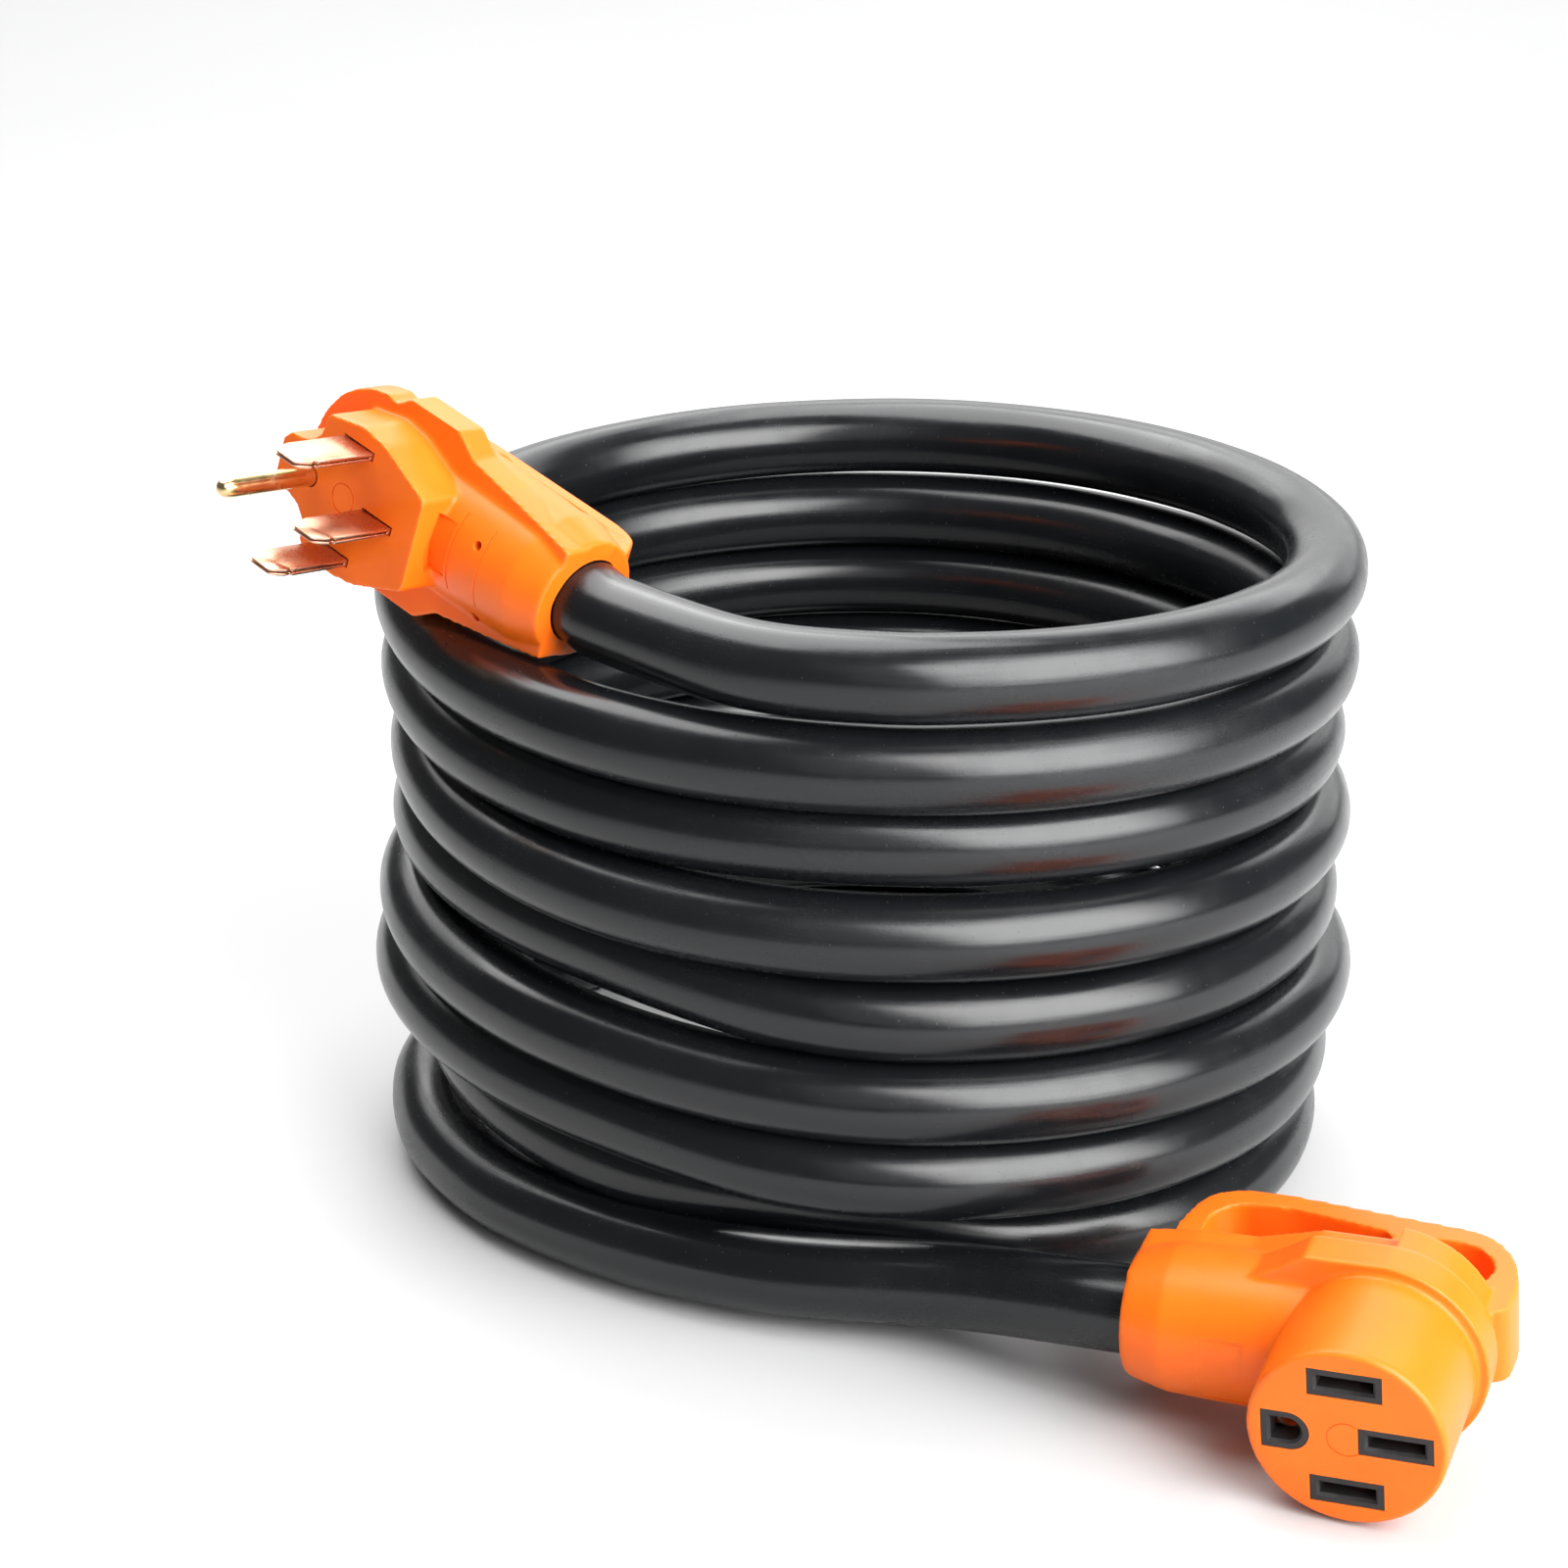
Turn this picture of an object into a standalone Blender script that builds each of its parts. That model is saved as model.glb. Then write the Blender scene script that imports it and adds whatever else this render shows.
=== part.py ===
"""Shore power cord: a coiled four-conductor cord with a moulded plug and a moulded connector.

Metres, +Z up, floor at z = 0. Each head is built in its own frame, with the face at z = 0, the face
normal along +z and the cord leaving along +x, and an empty then carries the head to its place.
"""

import math

import bmesh
import bpy
from mathutils import Matrix, Vector

MM = 0.001
GAP = 0.35 * MM  # clearance between pieces that touch

# Cord and coil
CORD_RADIUS = 13.0 * MM
CORD_SIDES = 3  # bevel resolution of the round section
COIL_CENTRE = (3.8 * MM, 131.8 * MM)
COIL_RADIUS = 143.3 * MM  # centre line of the turns
TURN_RISE = 25.71 * MM  # height gained by one turn
TURNS_IN_RING = 8
RING_TOP = 193.6 * MM
RING_BULGE = 4.6 * MM  # depth of the groove between two turns
RING_STEPS = 44
TOP_TURN_HEIGHT = 207.1 * MM  # centre of the top turn at the front
TOP_TURN_END = 348.0  # degrees round from the front, where the top turn runs into the ring
LOW_TURN_START = 180.0  # azimuth where the last turn leaves the ring
ROUTE_STEP = 38.0 * MM

# Pattern of the four poles, measured from its centre towards the ground pole
POLE_SPACING = 35.0 * MM  # between the two line poles
GROUND_OFFSET = 16.8 * MM
NEUTRAL_OFFSET = 13.8 * MM
BLADE_WIDTH = 13.0 * MM
BLADE_THICK = 2.3 * MM
BLADE_LENGTH = 28.5 * MM
PIN_RADIUS = 3.1 * MM
PIN_LENGTH = 35.0 * MM

# Wires inside the heads
WIRE_RADIUS = 3.1 * MM
STRAND_RADIUS = 2.3 * MM
WIRE_CIRCLE = 5.9 * MM  # where the wires enter the cord, about its axis
CORD_END = 39.0 * MM  # how far along +x the cord's end sits inside a head
STRAIGHT_RUN = (CORD_END, 52 * MM, 65 * MM, 76 * MM, 84 * MM)  # the cord leaves each head straight

# Plug
PLUG_AXIS = -31.0 * MM  # depth of the cord's axis behind the face
PLUG_ORIGIN = (-151.7 * MM, 59.3 * MM, 238.2 * MM)
PLUG_TO_CORD = (0.702, -0.659, -0.268)
PLUG_NORMAL = (-0.659, -0.745, 0.107)
PLUG_WALL = 5.0 * MM
PLUG_CRIMP = -10.5 * MM

# Connector
CONN_AXIS = -45.0 * MM
CONN_ORIGIN = (129.1 * MM, -120.1 * MM, 28.6 * MM)
CONN_TO_CORD = (-0.925, 0.377, -0.055)
CONN_NORMAL = (-0.37, -0.923, -0.106)
CONN_FACE_RADIUS = 27.5 * MM
CONN_WALL = 4.0 * MM
CONN_CRIMP = -22.5 * MM
COLLAR_WALL = 2.4 * MM  # dark rim round each slot

BARREL_LENGTH = 72.0 * MM
GRIP_HALF = 12.0 * MM

ORANGE = ("orange_pvc", (0.94, 0.16, 0.01, 1.0), 0.45, 0.0)
BLACK = ("black_jacket", (0.010, 0.010, 0.011, 1.0), 0.25, 0.0)
GREY = ("grey_insulator", (0.10, 0.10, 0.11, 1.0), 0.5, 0.0)
COPPER = ("copper", (0.72, 0.40, 0.26, 1.0), 0.28, 1.0)
BRASS = ("brass", (0.78, 0.58, 0.28, 1.0), 0.25, 1.0)
WIRE_COLOURS = {
    "x": ("red_insulation", (0.55, 0.03, 0.03, 1.0), 0.45, 0.0),
    "y": ("black_insulation", (0.02, 0.02, 0.02, 1.0), 0.45, 0.0),
    "neutral": ("white_insulation", (0.8, 0.8, 0.78, 1.0), 0.45, 0.0),
    "ground": ("green_insulation", (0.03, 0.3, 0.08, 1.0), 0.45, 0.0),
}


# Scene, material and mesh helpers

def clear_scene():
    for obj in list(bpy.data.objects):
        bpy.data.objects.remove(obj, do_unlink=True)


def material(spec):
    name, colour, roughness, metallic = spec
    found = bpy.data.materials.get(name)
    if found:
        return found
    made = bpy.data.materials.new(name)
    made.use_nodes = True
    shader = made.node_tree.nodes["Principled BSDF"]
    shader.inputs["Base Color"].default_value = colour
    shader.inputs["Roughness"].default_value = roughness
    shader.inputs["Metallic"].default_value = metallic
    made.diffuse_color = colour
    return made


def add_object(name, data, frame=None, spec=None):
    obj = bpy.data.objects.new(name, data)
    bpy.context.scene.collection.objects.link(obj)
    obj.parent = frame
    if spec:
        data.materials.append(material(spec))
    return obj


def mesh_object(name, points, faces, frame=None, spec=None):
    shape = bmesh.new()
    corners = [shape.verts.new(p) for p in points]
    for face in faces:
        shape.faces.new([corners[i] for i in face])
    bmesh.ops.recalc_face_normals(shape, faces=shape.faces)
    mesh = bpy.data.meshes.new(name)
    shape.to_mesh(mesh)
    shape.free()
    return add_object(name, mesh, frame, spec)


def helper(obj):
    """Keeps a cutter or a joined shape out of the render."""
    obj.hide_render = True
    obj.display_type = "WIRE"
    return obj


def stacked(name, rings, frame=None, spec=None):
    """Closed solid through a list of equal-length rings of points."""
    size = len(rings[0])
    points = [p for ring in rings for p in ring]
    faces = []
    for row in range(len(rings) - 1):
        for i in range(size):
            j = (i + 1) % size
            low = row * size
            faces.append((low + i, low + j, low + size + j, low + size + i))
    faces.append(tuple(range(size)))
    faces.append(tuple(range(len(points) - size, len(points))))
    return mesh_object(name, points, faces, frame, spec)


def prism(name, outline, low, high, axis="z", frame=None, spec=None):
    """Flat outline in the two other axes, carried from low to high along an axis."""
    def place(a, b, along):
        if axis == "z":
            return (a, b, along)
        if axis == "y":
            return (a, along, b)
        return (along, a, b)
    rings = [[place(a, b, along) for a, b in outline] for along in (low, high)]
    return stacked(name, rings, frame, spec)


def turned(name, profile, centre=(0.0, 0.0), axis="z", sides=32, frame=None, spec=None):
    """Round solid from (radius, distance) pairs along an axis; centre is in the two other axes."""
    rings = []
    for radius, along in profile:
        ring = []
        for i in range(sides):
            angle = 2 * math.pi * i / sides
            a = centre[0] + radius * math.cos(angle)
            b = centre[1] + radius * math.sin(angle)
            ring.append((a, b, along) if axis == "z" else (along, a, b))
        rings.append(ring)
    return stacked(name, rings, frame, spec)


def block(name, low, high, frame=None, spec=None):
    outline = [(low[0], low[1]), (high[0], low[1]), (high[0], high[1]), (low[0], high[1])]
    return prism(name, outline, low[2], high[2], "z", frame, spec)


def combine(obj, other, operation):
    modifier = obj.modifiers.new(operation.lower() + "_" + other.name, "BOOLEAN")
    modifier.operation = operation
    modifier.solver = "EXACT"
    modifier.object = helper(other)
    return obj


def join(obj, other):
    return combine(obj, other, "UNION")


def cut(obj, other):
    return combine(obj, other, "DIFFERENCE")


def shade_smooth(obj, degrees=35.0):
    for polygon in obj.data.polygons:
        polygon.use_smooth = True
    obj.data.set_sharp_from_angle(angle=math.radians(degrees))


# Routes of the cord and the wires

def smooth_route(points, step):
    """Points at even steps along a smooth curve through the given points."""
    knots = [Vector(p) for p in points]
    knots = [2 * knots[0] - knots[1]] + knots + [2 * knots[-1] - knots[-2]]
    dense = []
    for i in range(1, len(knots) - 2):
        before, start, end, after = knots[i - 1:i + 3]
        for k in range(24):
            t = k / 24
            dense.append(0.5 * (
                2 * start
                + (end - before) * t
                + (2 * before - 5 * start + 4 * end - after) * t ** 2
                + (3 * start - before - 3 * end + after) * t ** 3
            ))
    dense.append(knots[-2])
    lengths = [0.0]
    for a, b in zip(dense, dense[1:]):
        lengths.append(lengths[-1] + (b - a).length)
    count = max(2, round(lengths[-1] / step))
    route = []
    k = 0
    for i in range(count + 1):
        wanted = lengths[-1] * i / count
        while k < len(dense) - 2 and lengths[k + 1] < wanted:
            k += 1
        share = (wanted - lengths[k]) / (lengths[k + 1] - lengths[k])
        route.append(dense[k].lerp(dense[k + 1], share))
    return route


def tube(name, route, radius, frame=None, spec=None):
    curve = bpy.data.curves.new(name, "CURVE")
    curve.dimensions = "3D"
    curve.bevel_depth = radius
    curve.bevel_resolution = CORD_SIDES
    curve.use_fill_caps = True
    spline = curve.splines.new("POLY")
    spline.points.add(len(route) - 1)
    for point, place in zip(spline.points, route):
        point.co = (*place, 1.0)
    return add_object(name, curve, frame, spec)


def head_matrix(origin, to_cord, normal):
    z = Vector(normal).normalized()
    x = Vector(to_cord)
    x = (x - x.dot(z) * z).normalized()
    y = z.cross(x)
    turn = Matrix((x, y, z)).transposed()
    return Matrix.Translation(origin) @ turn.to_4x4()


def head_frame(name, origin, to_cord, normal):
    empty = bpy.data.objects.new(name, None)
    bpy.context.scene.collection.objects.link(empty)
    empty.matrix_world = head_matrix(origin, to_cord, normal)
    return empty


def by_coil(x, y, height):
    """A point given from the coil's own centre."""
    return (COIL_CENTRE[0] + x, COIL_CENTRE[1] + y, height)


def on_coil(azimuth, height):
    angle = math.radians(azimuth)
    return by_coil(COIL_RADIUS * math.cos(angle), COIL_RADIUS * math.sin(angle), height)


def top_turn_point(degrees):
    """Centre of the top turn, degrees round from the front."""
    return on_coil(degrees - 90.0, TOP_TURN_HEIGHT - TURN_RISE * degrees / 360.0)


def plug_lead_points():
    place = head_matrix(PLUG_ORIGIN, PLUG_TO_CORD, PLUG_NORMAL)
    straight = [place @ Vector((x, 0.0, PLUG_AXIS)) for x in STRAIGHT_RUN]
    settle = by_coil(-38 * MM, -134 * MM, TOP_TURN_HEIGHT + 1.2 * MM)
    turn = [top_turn_point(d) for d in range(0, int(TOP_TURN_END), 20)]
    return straight + [settle] + turn + [top_turn_point(TOP_TURN_END)]


def connector_lead_points():
    place = head_matrix(CONN_ORIGIN, CONN_TO_CORD, CONN_NORMAL)
    straight = [place @ Vector((x, 0.0, CONN_AXIS)) for x in STRAIGHT_RUN]
    floor = CORD_RADIUS + 0.2 * MM
    rise = [by_coil(24.5 * MM, -155.7 * MM, 17 * MM),
            by_coil(-15 * MM, -143.5 * MM, floor + 1 * MM)]
    merge = [on_coil(azimuth, floor) for azimuth in (246.0, 232.0, 218.0, 206.0, 193.0)]
    return straight + rise + merge + [on_coil(LOW_TURN_START + 0.15, floor)]


# Coil and cord

def ring_profile():
    """(radius, height) corners of the stack of turns, out and back in."""
    stages = [(0.0, 0.0)]
    for turn in range(TURNS_IN_RING):
        low = RING_TOP - (TURNS_IN_RING - turn) * TURN_RISE
        for share, depth in ((0.0, RING_BULGE), (0.3, 0.0), (0.7, 0.0)):
            if low + share * TURN_RISE > 1 * MM:
                stages.append((depth, low + share * TURN_RISE))
    stages.append((RING_BULGE, RING_TOP))
    outer = [(COIL_RADIUS + CORD_RADIUS - depth, height) for depth, height in stages]
    inner = [(COIL_RADIUS - CORD_RADIUS + depth, height) for depth, height in stages]
    return outer + inner[::-1]


def full_ring(name):
    profile = ring_profile()
    size = len(profile)
    points = []
    for step in range(RING_STEPS):
        angle = 2 * math.pi * step / RING_STEPS
        for radius, height in profile:
            points.append(by_coil(radius * math.cos(angle), radius * math.sin(angle), height))
    faces = []
    for step in range(RING_STEPS):
        here = step * size
        there = (step + 1) % RING_STEPS * size
        for i in range(size):
            j = (i + 1) % size
            faces.append((here + i, there + i, there + j, here + j))
    return mesh_object(name, points, faces, None, BLACK)


def clearance(name, route, low, high, reach=21 * MM):
    """Band of space along a route, from low(z) to high(z), wide enough to cross the ring."""
    rings = []
    for i, place in enumerate(route):
        ahead = route[min(i + 1, len(route) - 1)] - route[max(i - 1, 0)]
        side = Vector((ahead.y, -ahead.x, 0.0)).normalized() * reach
        inside = place - side
        outside = place + side
        rings.append([
            (inside.x, inside.y, low(place.z)), (outside.x, outside.y, low(place.z)),
            (outside.x, outside.y, high(place.z)), (inside.x, inside.y, high(place.z)),
        ])
    return stacked(name, rings)


def build_coil():
    ring = full_ring("cord_coil")
    room = CORD_RADIUS + 2 * GAP
    lead = smooth_route(plug_lead_points(), ROUTE_STEP)
    above = clearance("room_top_turn", lead[3:], lambda z: z - room, lambda z: z + 60 * MM)
    lead = smooth_route(connector_lead_points(), ROUTE_STEP)
    below = clearance("room_connector_lead", lead, lambda z: -5 * MM, lambda z: z + room)
    cut(ring, above)
    cut(ring, below)
    shade_smooth(ring)


def build_cords():
    top = smooth_route(plug_lead_points(), ROUTE_STEP)
    shorter = (top[-2] - top[-1]).normalized() * GAP
    top[-1] = top[-1] + shorter
    tube("cord_plug_lead", top, CORD_RADIUS, None, BLACK)
    low = smooth_route(connector_lead_points(), ROUTE_STEP)
    shorter = (low[-2] - low[-1]).normalized() * GAP
    low[-1] = low[-1] + shorter
    tube("cord_connector_lead", low, CORD_RADIUS, None, BLACK)


# Shapes both heads share

def rounded_slot(half_width, half_height):
    """Ground slot: flat side towards the cord, round side towards the middle of the face."""
    outline = [(half_width, -half_height), (half_width, half_height)]
    for i in range(13):
        angle = math.pi / 2 + math.pi * i / 12
        outline.append((
            -half_width + half_height + half_height * math.cos(angle),
            half_height * math.sin(angle),
        ))
    return outline


def shifted(outline, x, y):
    return [(a + x, b + y) for a, b in outline]


def rectangle(width, height):
    return [(-width / 2, -height / 2), (width / 2, -height / 2),
            (width / 2, height / 2), (-width / 2, height / 2)]


def poles(ground_side):
    """Centre of each pole in a head's frame. ground_side is +1 where the ground is next to the cord."""
    return {
        "x": (0.0, POLE_SPACING / 2),
        "y": (0.0, -POLE_SPACING / 2),
        "neutral": (-ground_side * NEUTRAL_OFFSET, 0.0),
        "ground": (ground_side * GROUND_OFFSET, 0.0),
    }


def barrel(name, axis_depth, frame, spec=None):
    profile = ((22.5, 8.0), (22.5, 30.0), (21.6, 60.0), (19.0, 70.5), (18.4, 72.0))
    return turned(name, [(r * MM, x * MM) for r, x in profile], (0.0, axis_depth), "x", 32,
                  frame, spec)


def plate_outline(centre, radius, ear):
    """Plate behind a head: an arc round the head, an ear above and below, and a tail along the cord."""
    tail = [(72.5, 17.5), (57, 19.5), (40, 19.8), (28.5, ear * 0.5 + 10.3), (20.5, ear), (-3.0, ear)]
    arc = []
    for i in range(1, 16):
        angle = math.pi * (0.5 + i / 16)
        arc.append((centre + radius * math.cos(angle), radius * math.sin(angle)))
    shape = tail + arc + [(x, -y) for x, y in tail[::-1]]
    return [(x * MM, y * MM) for x, y in shape]


def grip_outline(axis_depth):
    """Outer edge of the finger loop, in x and depth."""
    shape = ((-33, -6), (-34, -21), (-29.5, -36), (-20, -45), (40, -51.5), (56, -51), (64, -45),
             (68, -31), (68, -10))
    return [(x * MM, depth * MM + axis_depth) for x, depth in shape]


def grip_openings(axis_depth):
    """The long finger opening beside the barrel and the short one behind the head."""
    long_shape = ((6, -20), (6, -39), (36, -44.5), (54, -43.5), (60, -36), (60, -24), (56, -24),
                  (50, -23))
    short_shape = ((-24, -20), (-25.5, -30), (-19, -37.5), (-10, -39), (-2, -38), (-2, -20))
    return [[(x * MM, depth * MM + axis_depth) for x, depth in shape]
            for shape in (long_shape, short_shape)]


def add_grip(body, prefix, axis_depth, frame):
    grip = prism(prefix + "_grip_shape", grip_outline(axis_depth), -GRIP_HALF, GRIP_HALF, "y", frame)
    join(body, grip)
    for i, outline in enumerate(grip_openings(axis_depth)):
        cut(body, prism(f"{prefix}_grip_opening_{i}", outline, -40 * MM, 40 * MM, "y", frame))


def hollow_out(body, prefix, axis_depth, frame):
    """Room for the wires to gather, and the bore for the cord."""
    rings = []
    for x, across, deep in ((0, 21.6, 12.5), (12, 20.5, 12.5), (26, 13.0, 11.0), (44, 11.0, 11.0)):
        rings.append([(x * MM, across * MM * math.cos(math.pi * i / 12),
                       axis_depth + deep * MM * math.sin(math.pi * i / 12)) for i in range(24)])
    cut(body, stacked(prefix + "_funnel", rings, frame))
    bore = turned(prefix + "_bore", [(CORD_RADIUS + GAP, CORD_END - 6 * MM),
                                     (CORD_RADIUS + GAP, BARREL_LENGTH + 10 * MM)],
                  (0.0, axis_depth), "x", 32, frame)
    cut(body, bore)


def crimp(name, pole, top, frame, spec):
    """Barrel that closes on the bare strands, open behind."""
    outer = STRAND_RADIUS + GAP + 1.3 * MM
    body = turned(name, [(outer, top - 7 * MM), (outer, top)], pole, "z", 20, frame, spec)
    hole = turned(name + "_hole", [(STRAND_RADIUS + GAP, top - 8 * MM),
                                   (STRAND_RADIUS + GAP, top - 1.5 * MM)], pole, "z", 20, frame)
    return body, hole


def wire_end(key, axis_depth):
    places = {
        "x": (WIRE_CIRCLE, 0.0), "y": (-WIRE_CIRCLE, 0.0),
        "near": (0.0, WIRE_CIRCLE), "far": (0.0, -WIRE_CIRCLE),
    }
    across, depth = places[key]
    return Vector((CORD_END - GAP, across, axis_depth + depth))


def add_wires(prefix, pole_places, crimp_top, axis_depth, frame):
    """Bare strands in each crimp, and an insulated wire from there to the end of the cord."""
    nearest = max(pole_places, key=lambda key: pole_places[key][0])
    for key, (x, y) in pole_places.items():
        top = crimp_top - 1.9 * MM
        bottom = crimp_top - 8.2 * MM
        turned(f"{prefix}_strands_{key}", [(STRAND_RADIUS, bottom), (STRAND_RADIUS, top)],
               (x, y), "z", 16, frame, COPPER)
        slot = key if key in ("x", "y") else ("near" if key == nearest else "far")
        end = wire_end(slot, axis_depth)
        start = Vector((x, y, bottom - 2.6 * GAP))
        drop = end.z - start.z
        across = Vector((x + 7.5 * MM, y, end.z))
        points = [start, start + Vector((0.0, 0.0, -1.2 * MM)),
                  start + Vector((2.0 * MM, 0.0, 0.74 * drop)), across]
        reach = end.x - across.x
        points += [across + Vector((reach * 0.25, (end.y - y) * 0.3, 0.0)),
                   across + Vector((reach * 0.62, (end.y - y) * 0.9, 0.0)), end]
        tube(f"{prefix}_wire_{key}", smooth_route(points, 3.2 * MM), WIRE_RADIUS, frame,
             WIRE_COLOURS[key])


# Plug

def plug_face_outline():
    """House-shaped block with a lobe for the ground pin and a round notch on each side of it."""
    half = [(30, 15), (10, 23), (0, 24.5), (-15, 21.5), (-16, 14.5), (-19, 11), (-24, 9.5),
            (-28.5, 9), (-31, 6)]
    half = [(x * MM, y * MM) for x, y in half]
    return [(x, -y) for x, y in half] + half[::-1]


def build_plug_body(frame):
    body = prism("plug_overmould", plug_face_outline(), -22 * MM, 0.0, "z", frame, ORANGE)
    ears = prism("plug_ears", plate_outline(-5.0, 31.8, 33.0), -28 * MM, -18 * MM, "z", frame)
    join(body, ears)
    rear = prism("plug_rear", plate_outline(-3.0, 28.0, 24.5), -48 * MM, -26 * MM, "z", frame)
    join(body, rear)
    join(body, barrel("plug_barrel", PLUG_AXIS, frame))
    add_grip(body, "plug", PLUG_AXIS, frame)
    cut(body, prism("plug_pocket", pocket_outline(1.0), PLUG_AXIS - 10.5 * MM, -PLUG_WALL, "z", frame))
    hollow_out(body, "plug", PLUG_AXIS, frame)
    for key, (x, y) in poles(-1).items():
        name = "plug_face_hole_" + key
        if key == "ground":
            hole = turned(name, [(PIN_RADIUS + GAP, -10 * MM), (PIN_RADIUS + GAP, 5 * MM)], (x, y),
                          "z", 20, frame)
        else:
            outline = shifted(rectangle(BLADE_WIDTH + 2 * GAP, BLADE_THICK + 2 * GAP), x, y)
            hole = prism(name, outline, -10 * MM, 5 * MM, "z", frame)
        cut(body, hole)
    for i, y in enumerate((12.6, -12.6)):
        cut(body, turned(f"plug_dimple_{i}", [(1.3 * MM, -19.2 * MM), (1.3 * MM, -7.2 * MM)],
                         (40 * MM, y * MM), "z", 12, frame))


def pocket_outline(scale):
    """Room behind the plug's face, inside the block's outline."""
    half = [(21, 10), (9, 19.8), (4, 21.9), (-4, 21.9), (-9, 19.6), (-11, 15), (-21.2, 6)]
    half = [(x * scale * MM, y * scale * MM) for x, y in half]
    return half + [(x, -y) for x, y in half[::-1]]


def build_plug_core(frame):
    """Stiff inner bridge that holds the blades square and apart."""
    high = -PLUG_WALL - GAP
    core = prism("plug_core", pocket_outline(0.98), high - 4.6 * MM, high, "z", frame, GREY)
    for key, (x, y) in poles(-1).items():
        name = "plug_core_hole_" + key
        if key == "ground":
            hole = turned(name, [(PIN_RADIUS + GAP, -20 * MM), (PIN_RADIUS + GAP, 0.0)], (x, y),
                          "z", 20, frame)
        else:
            outline = shifted(rectangle(BLADE_WIDTH + 2 * GAP, BLADE_THICK + 2 * GAP), x, y)
            hole = prism(name, outline, -20 * MM, 0.0, "z", frame)
        cut(core, hole)


def build_blade(name, pole, frame):
    """Folded sheet: two leaves joined along one long edge, narrowed at the tip, with a crimp behind."""
    x, y = pole
    half = BLADE_WIDTH / 2
    tip = BLADE_LENGTH
    low = PLUG_CRIMP - 1.0 * MM
    shoulder_top = PLUG_CRIMP + 0.4 * MM
    outline = [(-half, low), (half, low), (half, tip - 7 * MM), (half - 0.9 * MM, tip - 6.6 * MM),
               (half - 2.0 * MM, tip - 0.8 * MM), (half - 2.8 * MM, tip), (-half + 2.6 * MM, tip),
               (-half + 1.6 * MM, tip - 0.8 * MM), (-half, tip - 6 * MM)]
    outline = [(a + x, depth) for a, depth in outline]
    blade = prism(name, outline, y - BLADE_THICK / 2, y + BLADE_THICK / 2, "y", frame, COPPER)
    seam = block(name + "_seam", (x - half + 1.6 * MM, y - 0.22 * MM, 1.0 * MM),
                 (x + half + 1 * MM, y + 0.22 * MM, tip + 1 * MM), frame)
    cut(blade, seam)
    shoulder = block(name + "_shoulder", (x - 8 * MM, y - 5 * MM, low - 1 * MM),
                     (x - STRAND_RADIUS - 1.2 * MM, y + 5 * MM, shoulder_top), frame)
    cut(blade, shoulder)
    other = block(name + "_shoulder_2", (x + STRAND_RADIUS + 1.2 * MM, y - 5 * MM, low - 1 * MM),
                  (x + 8 * MM, y + 5 * MM, shoulder_top), frame)
    cut(blade, other)
    shell, hole = crimp(name + "_crimp", pole, PLUG_CRIMP, frame, None)
    join(blade, shell)
    cut(blade, hole)


def build_ground_pin(frame):
    x, y = poles(-1)["ground"]
    r = PIN_RADIUS
    profile = [(r, PLUG_CRIMP - 0.5 * MM), (r, PIN_LENGTH - 4 * MM), (r * 0.82, PIN_LENGTH - 1.6 * MM),
               (r * 0.5, PIN_LENGTH - 0.4 * MM), (r * 0.2, PIN_LENGTH)]
    pin = turned("plug_ground_pin", profile, (x, y), "z", 24, frame, BRASS)
    shell, hole = crimp("plug_ground_pin_crimp", (x, y), PLUG_CRIMP, frame, None)
    join(pin, shell)
    cut(pin, hole)


def build_plug():
    frame = head_frame("plug_frame", PLUG_ORIGIN, PLUG_TO_CORD, PLUG_NORMAL)
    build_plug_body(frame)
    build_plug_core(frame)
    places = poles(-1)
    for key in ("x", "y", "neutral"):
        build_blade("plug_blade_" + key, places[key], frame)
    build_ground_pin(frame)
    add_wires("plug", places, PLUG_CRIMP, PLUG_AXIS, frame)


# Connector

def collar_outline(key, grow):
    if key == "ground":
        return rounded_slot(4.2 * MM + grow, 3.6 * MM + grow)
    return rectangle(BLADE_WIDTH + 2.6 * MM + 2 * grow, BLADE_THICK + 1.2 * MM + 2 * grow)


def build_connector_body(frame):
    r = CONN_FACE_RADIUS
    profile = [(r + 0.4 * MM, -44 * MM), (r + 0.4 * MM, -1.2 * MM), (r - 0.8 * MM, 0.0)]
    body = turned("connector_overmould", profile, (0.0, 0.0), "z", 48, frame, ORANGE)
    join(body, barrel("connector_barrel", CONN_AXIS, frame))
    join(body, prism("connector_ears", plate_outline(0.0, 31.0, 31.0), -50 * MM, -38 * MM, "z", frame))
    join(body, prism("connector_rear", plate_outline(0.0, 29.5, 25.0), -62 * MM, -40 * MM, "z", frame))
    add_grip(body, "connector", CONN_AXIS, frame)
    pocket = turned("connector_pocket", [(24.0 * MM, CONN_AXIS - 10.5 * MM), (24.0 * MM, -CONN_WALL)],
                    (0.0, 0.0), "z", 32, frame)
    cut(body, pocket)
    hollow_out(body, "connector", CONN_AXIS, frame)
    for key, (x, y) in poles(1).items():
        outline = shifted(collar_outline(key, COLLAR_WALL + GAP), x, y)
        cut(body, prism("connector_face_hole_" + key, outline, -10 * MM, 5 * MM, "z", frame))


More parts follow.
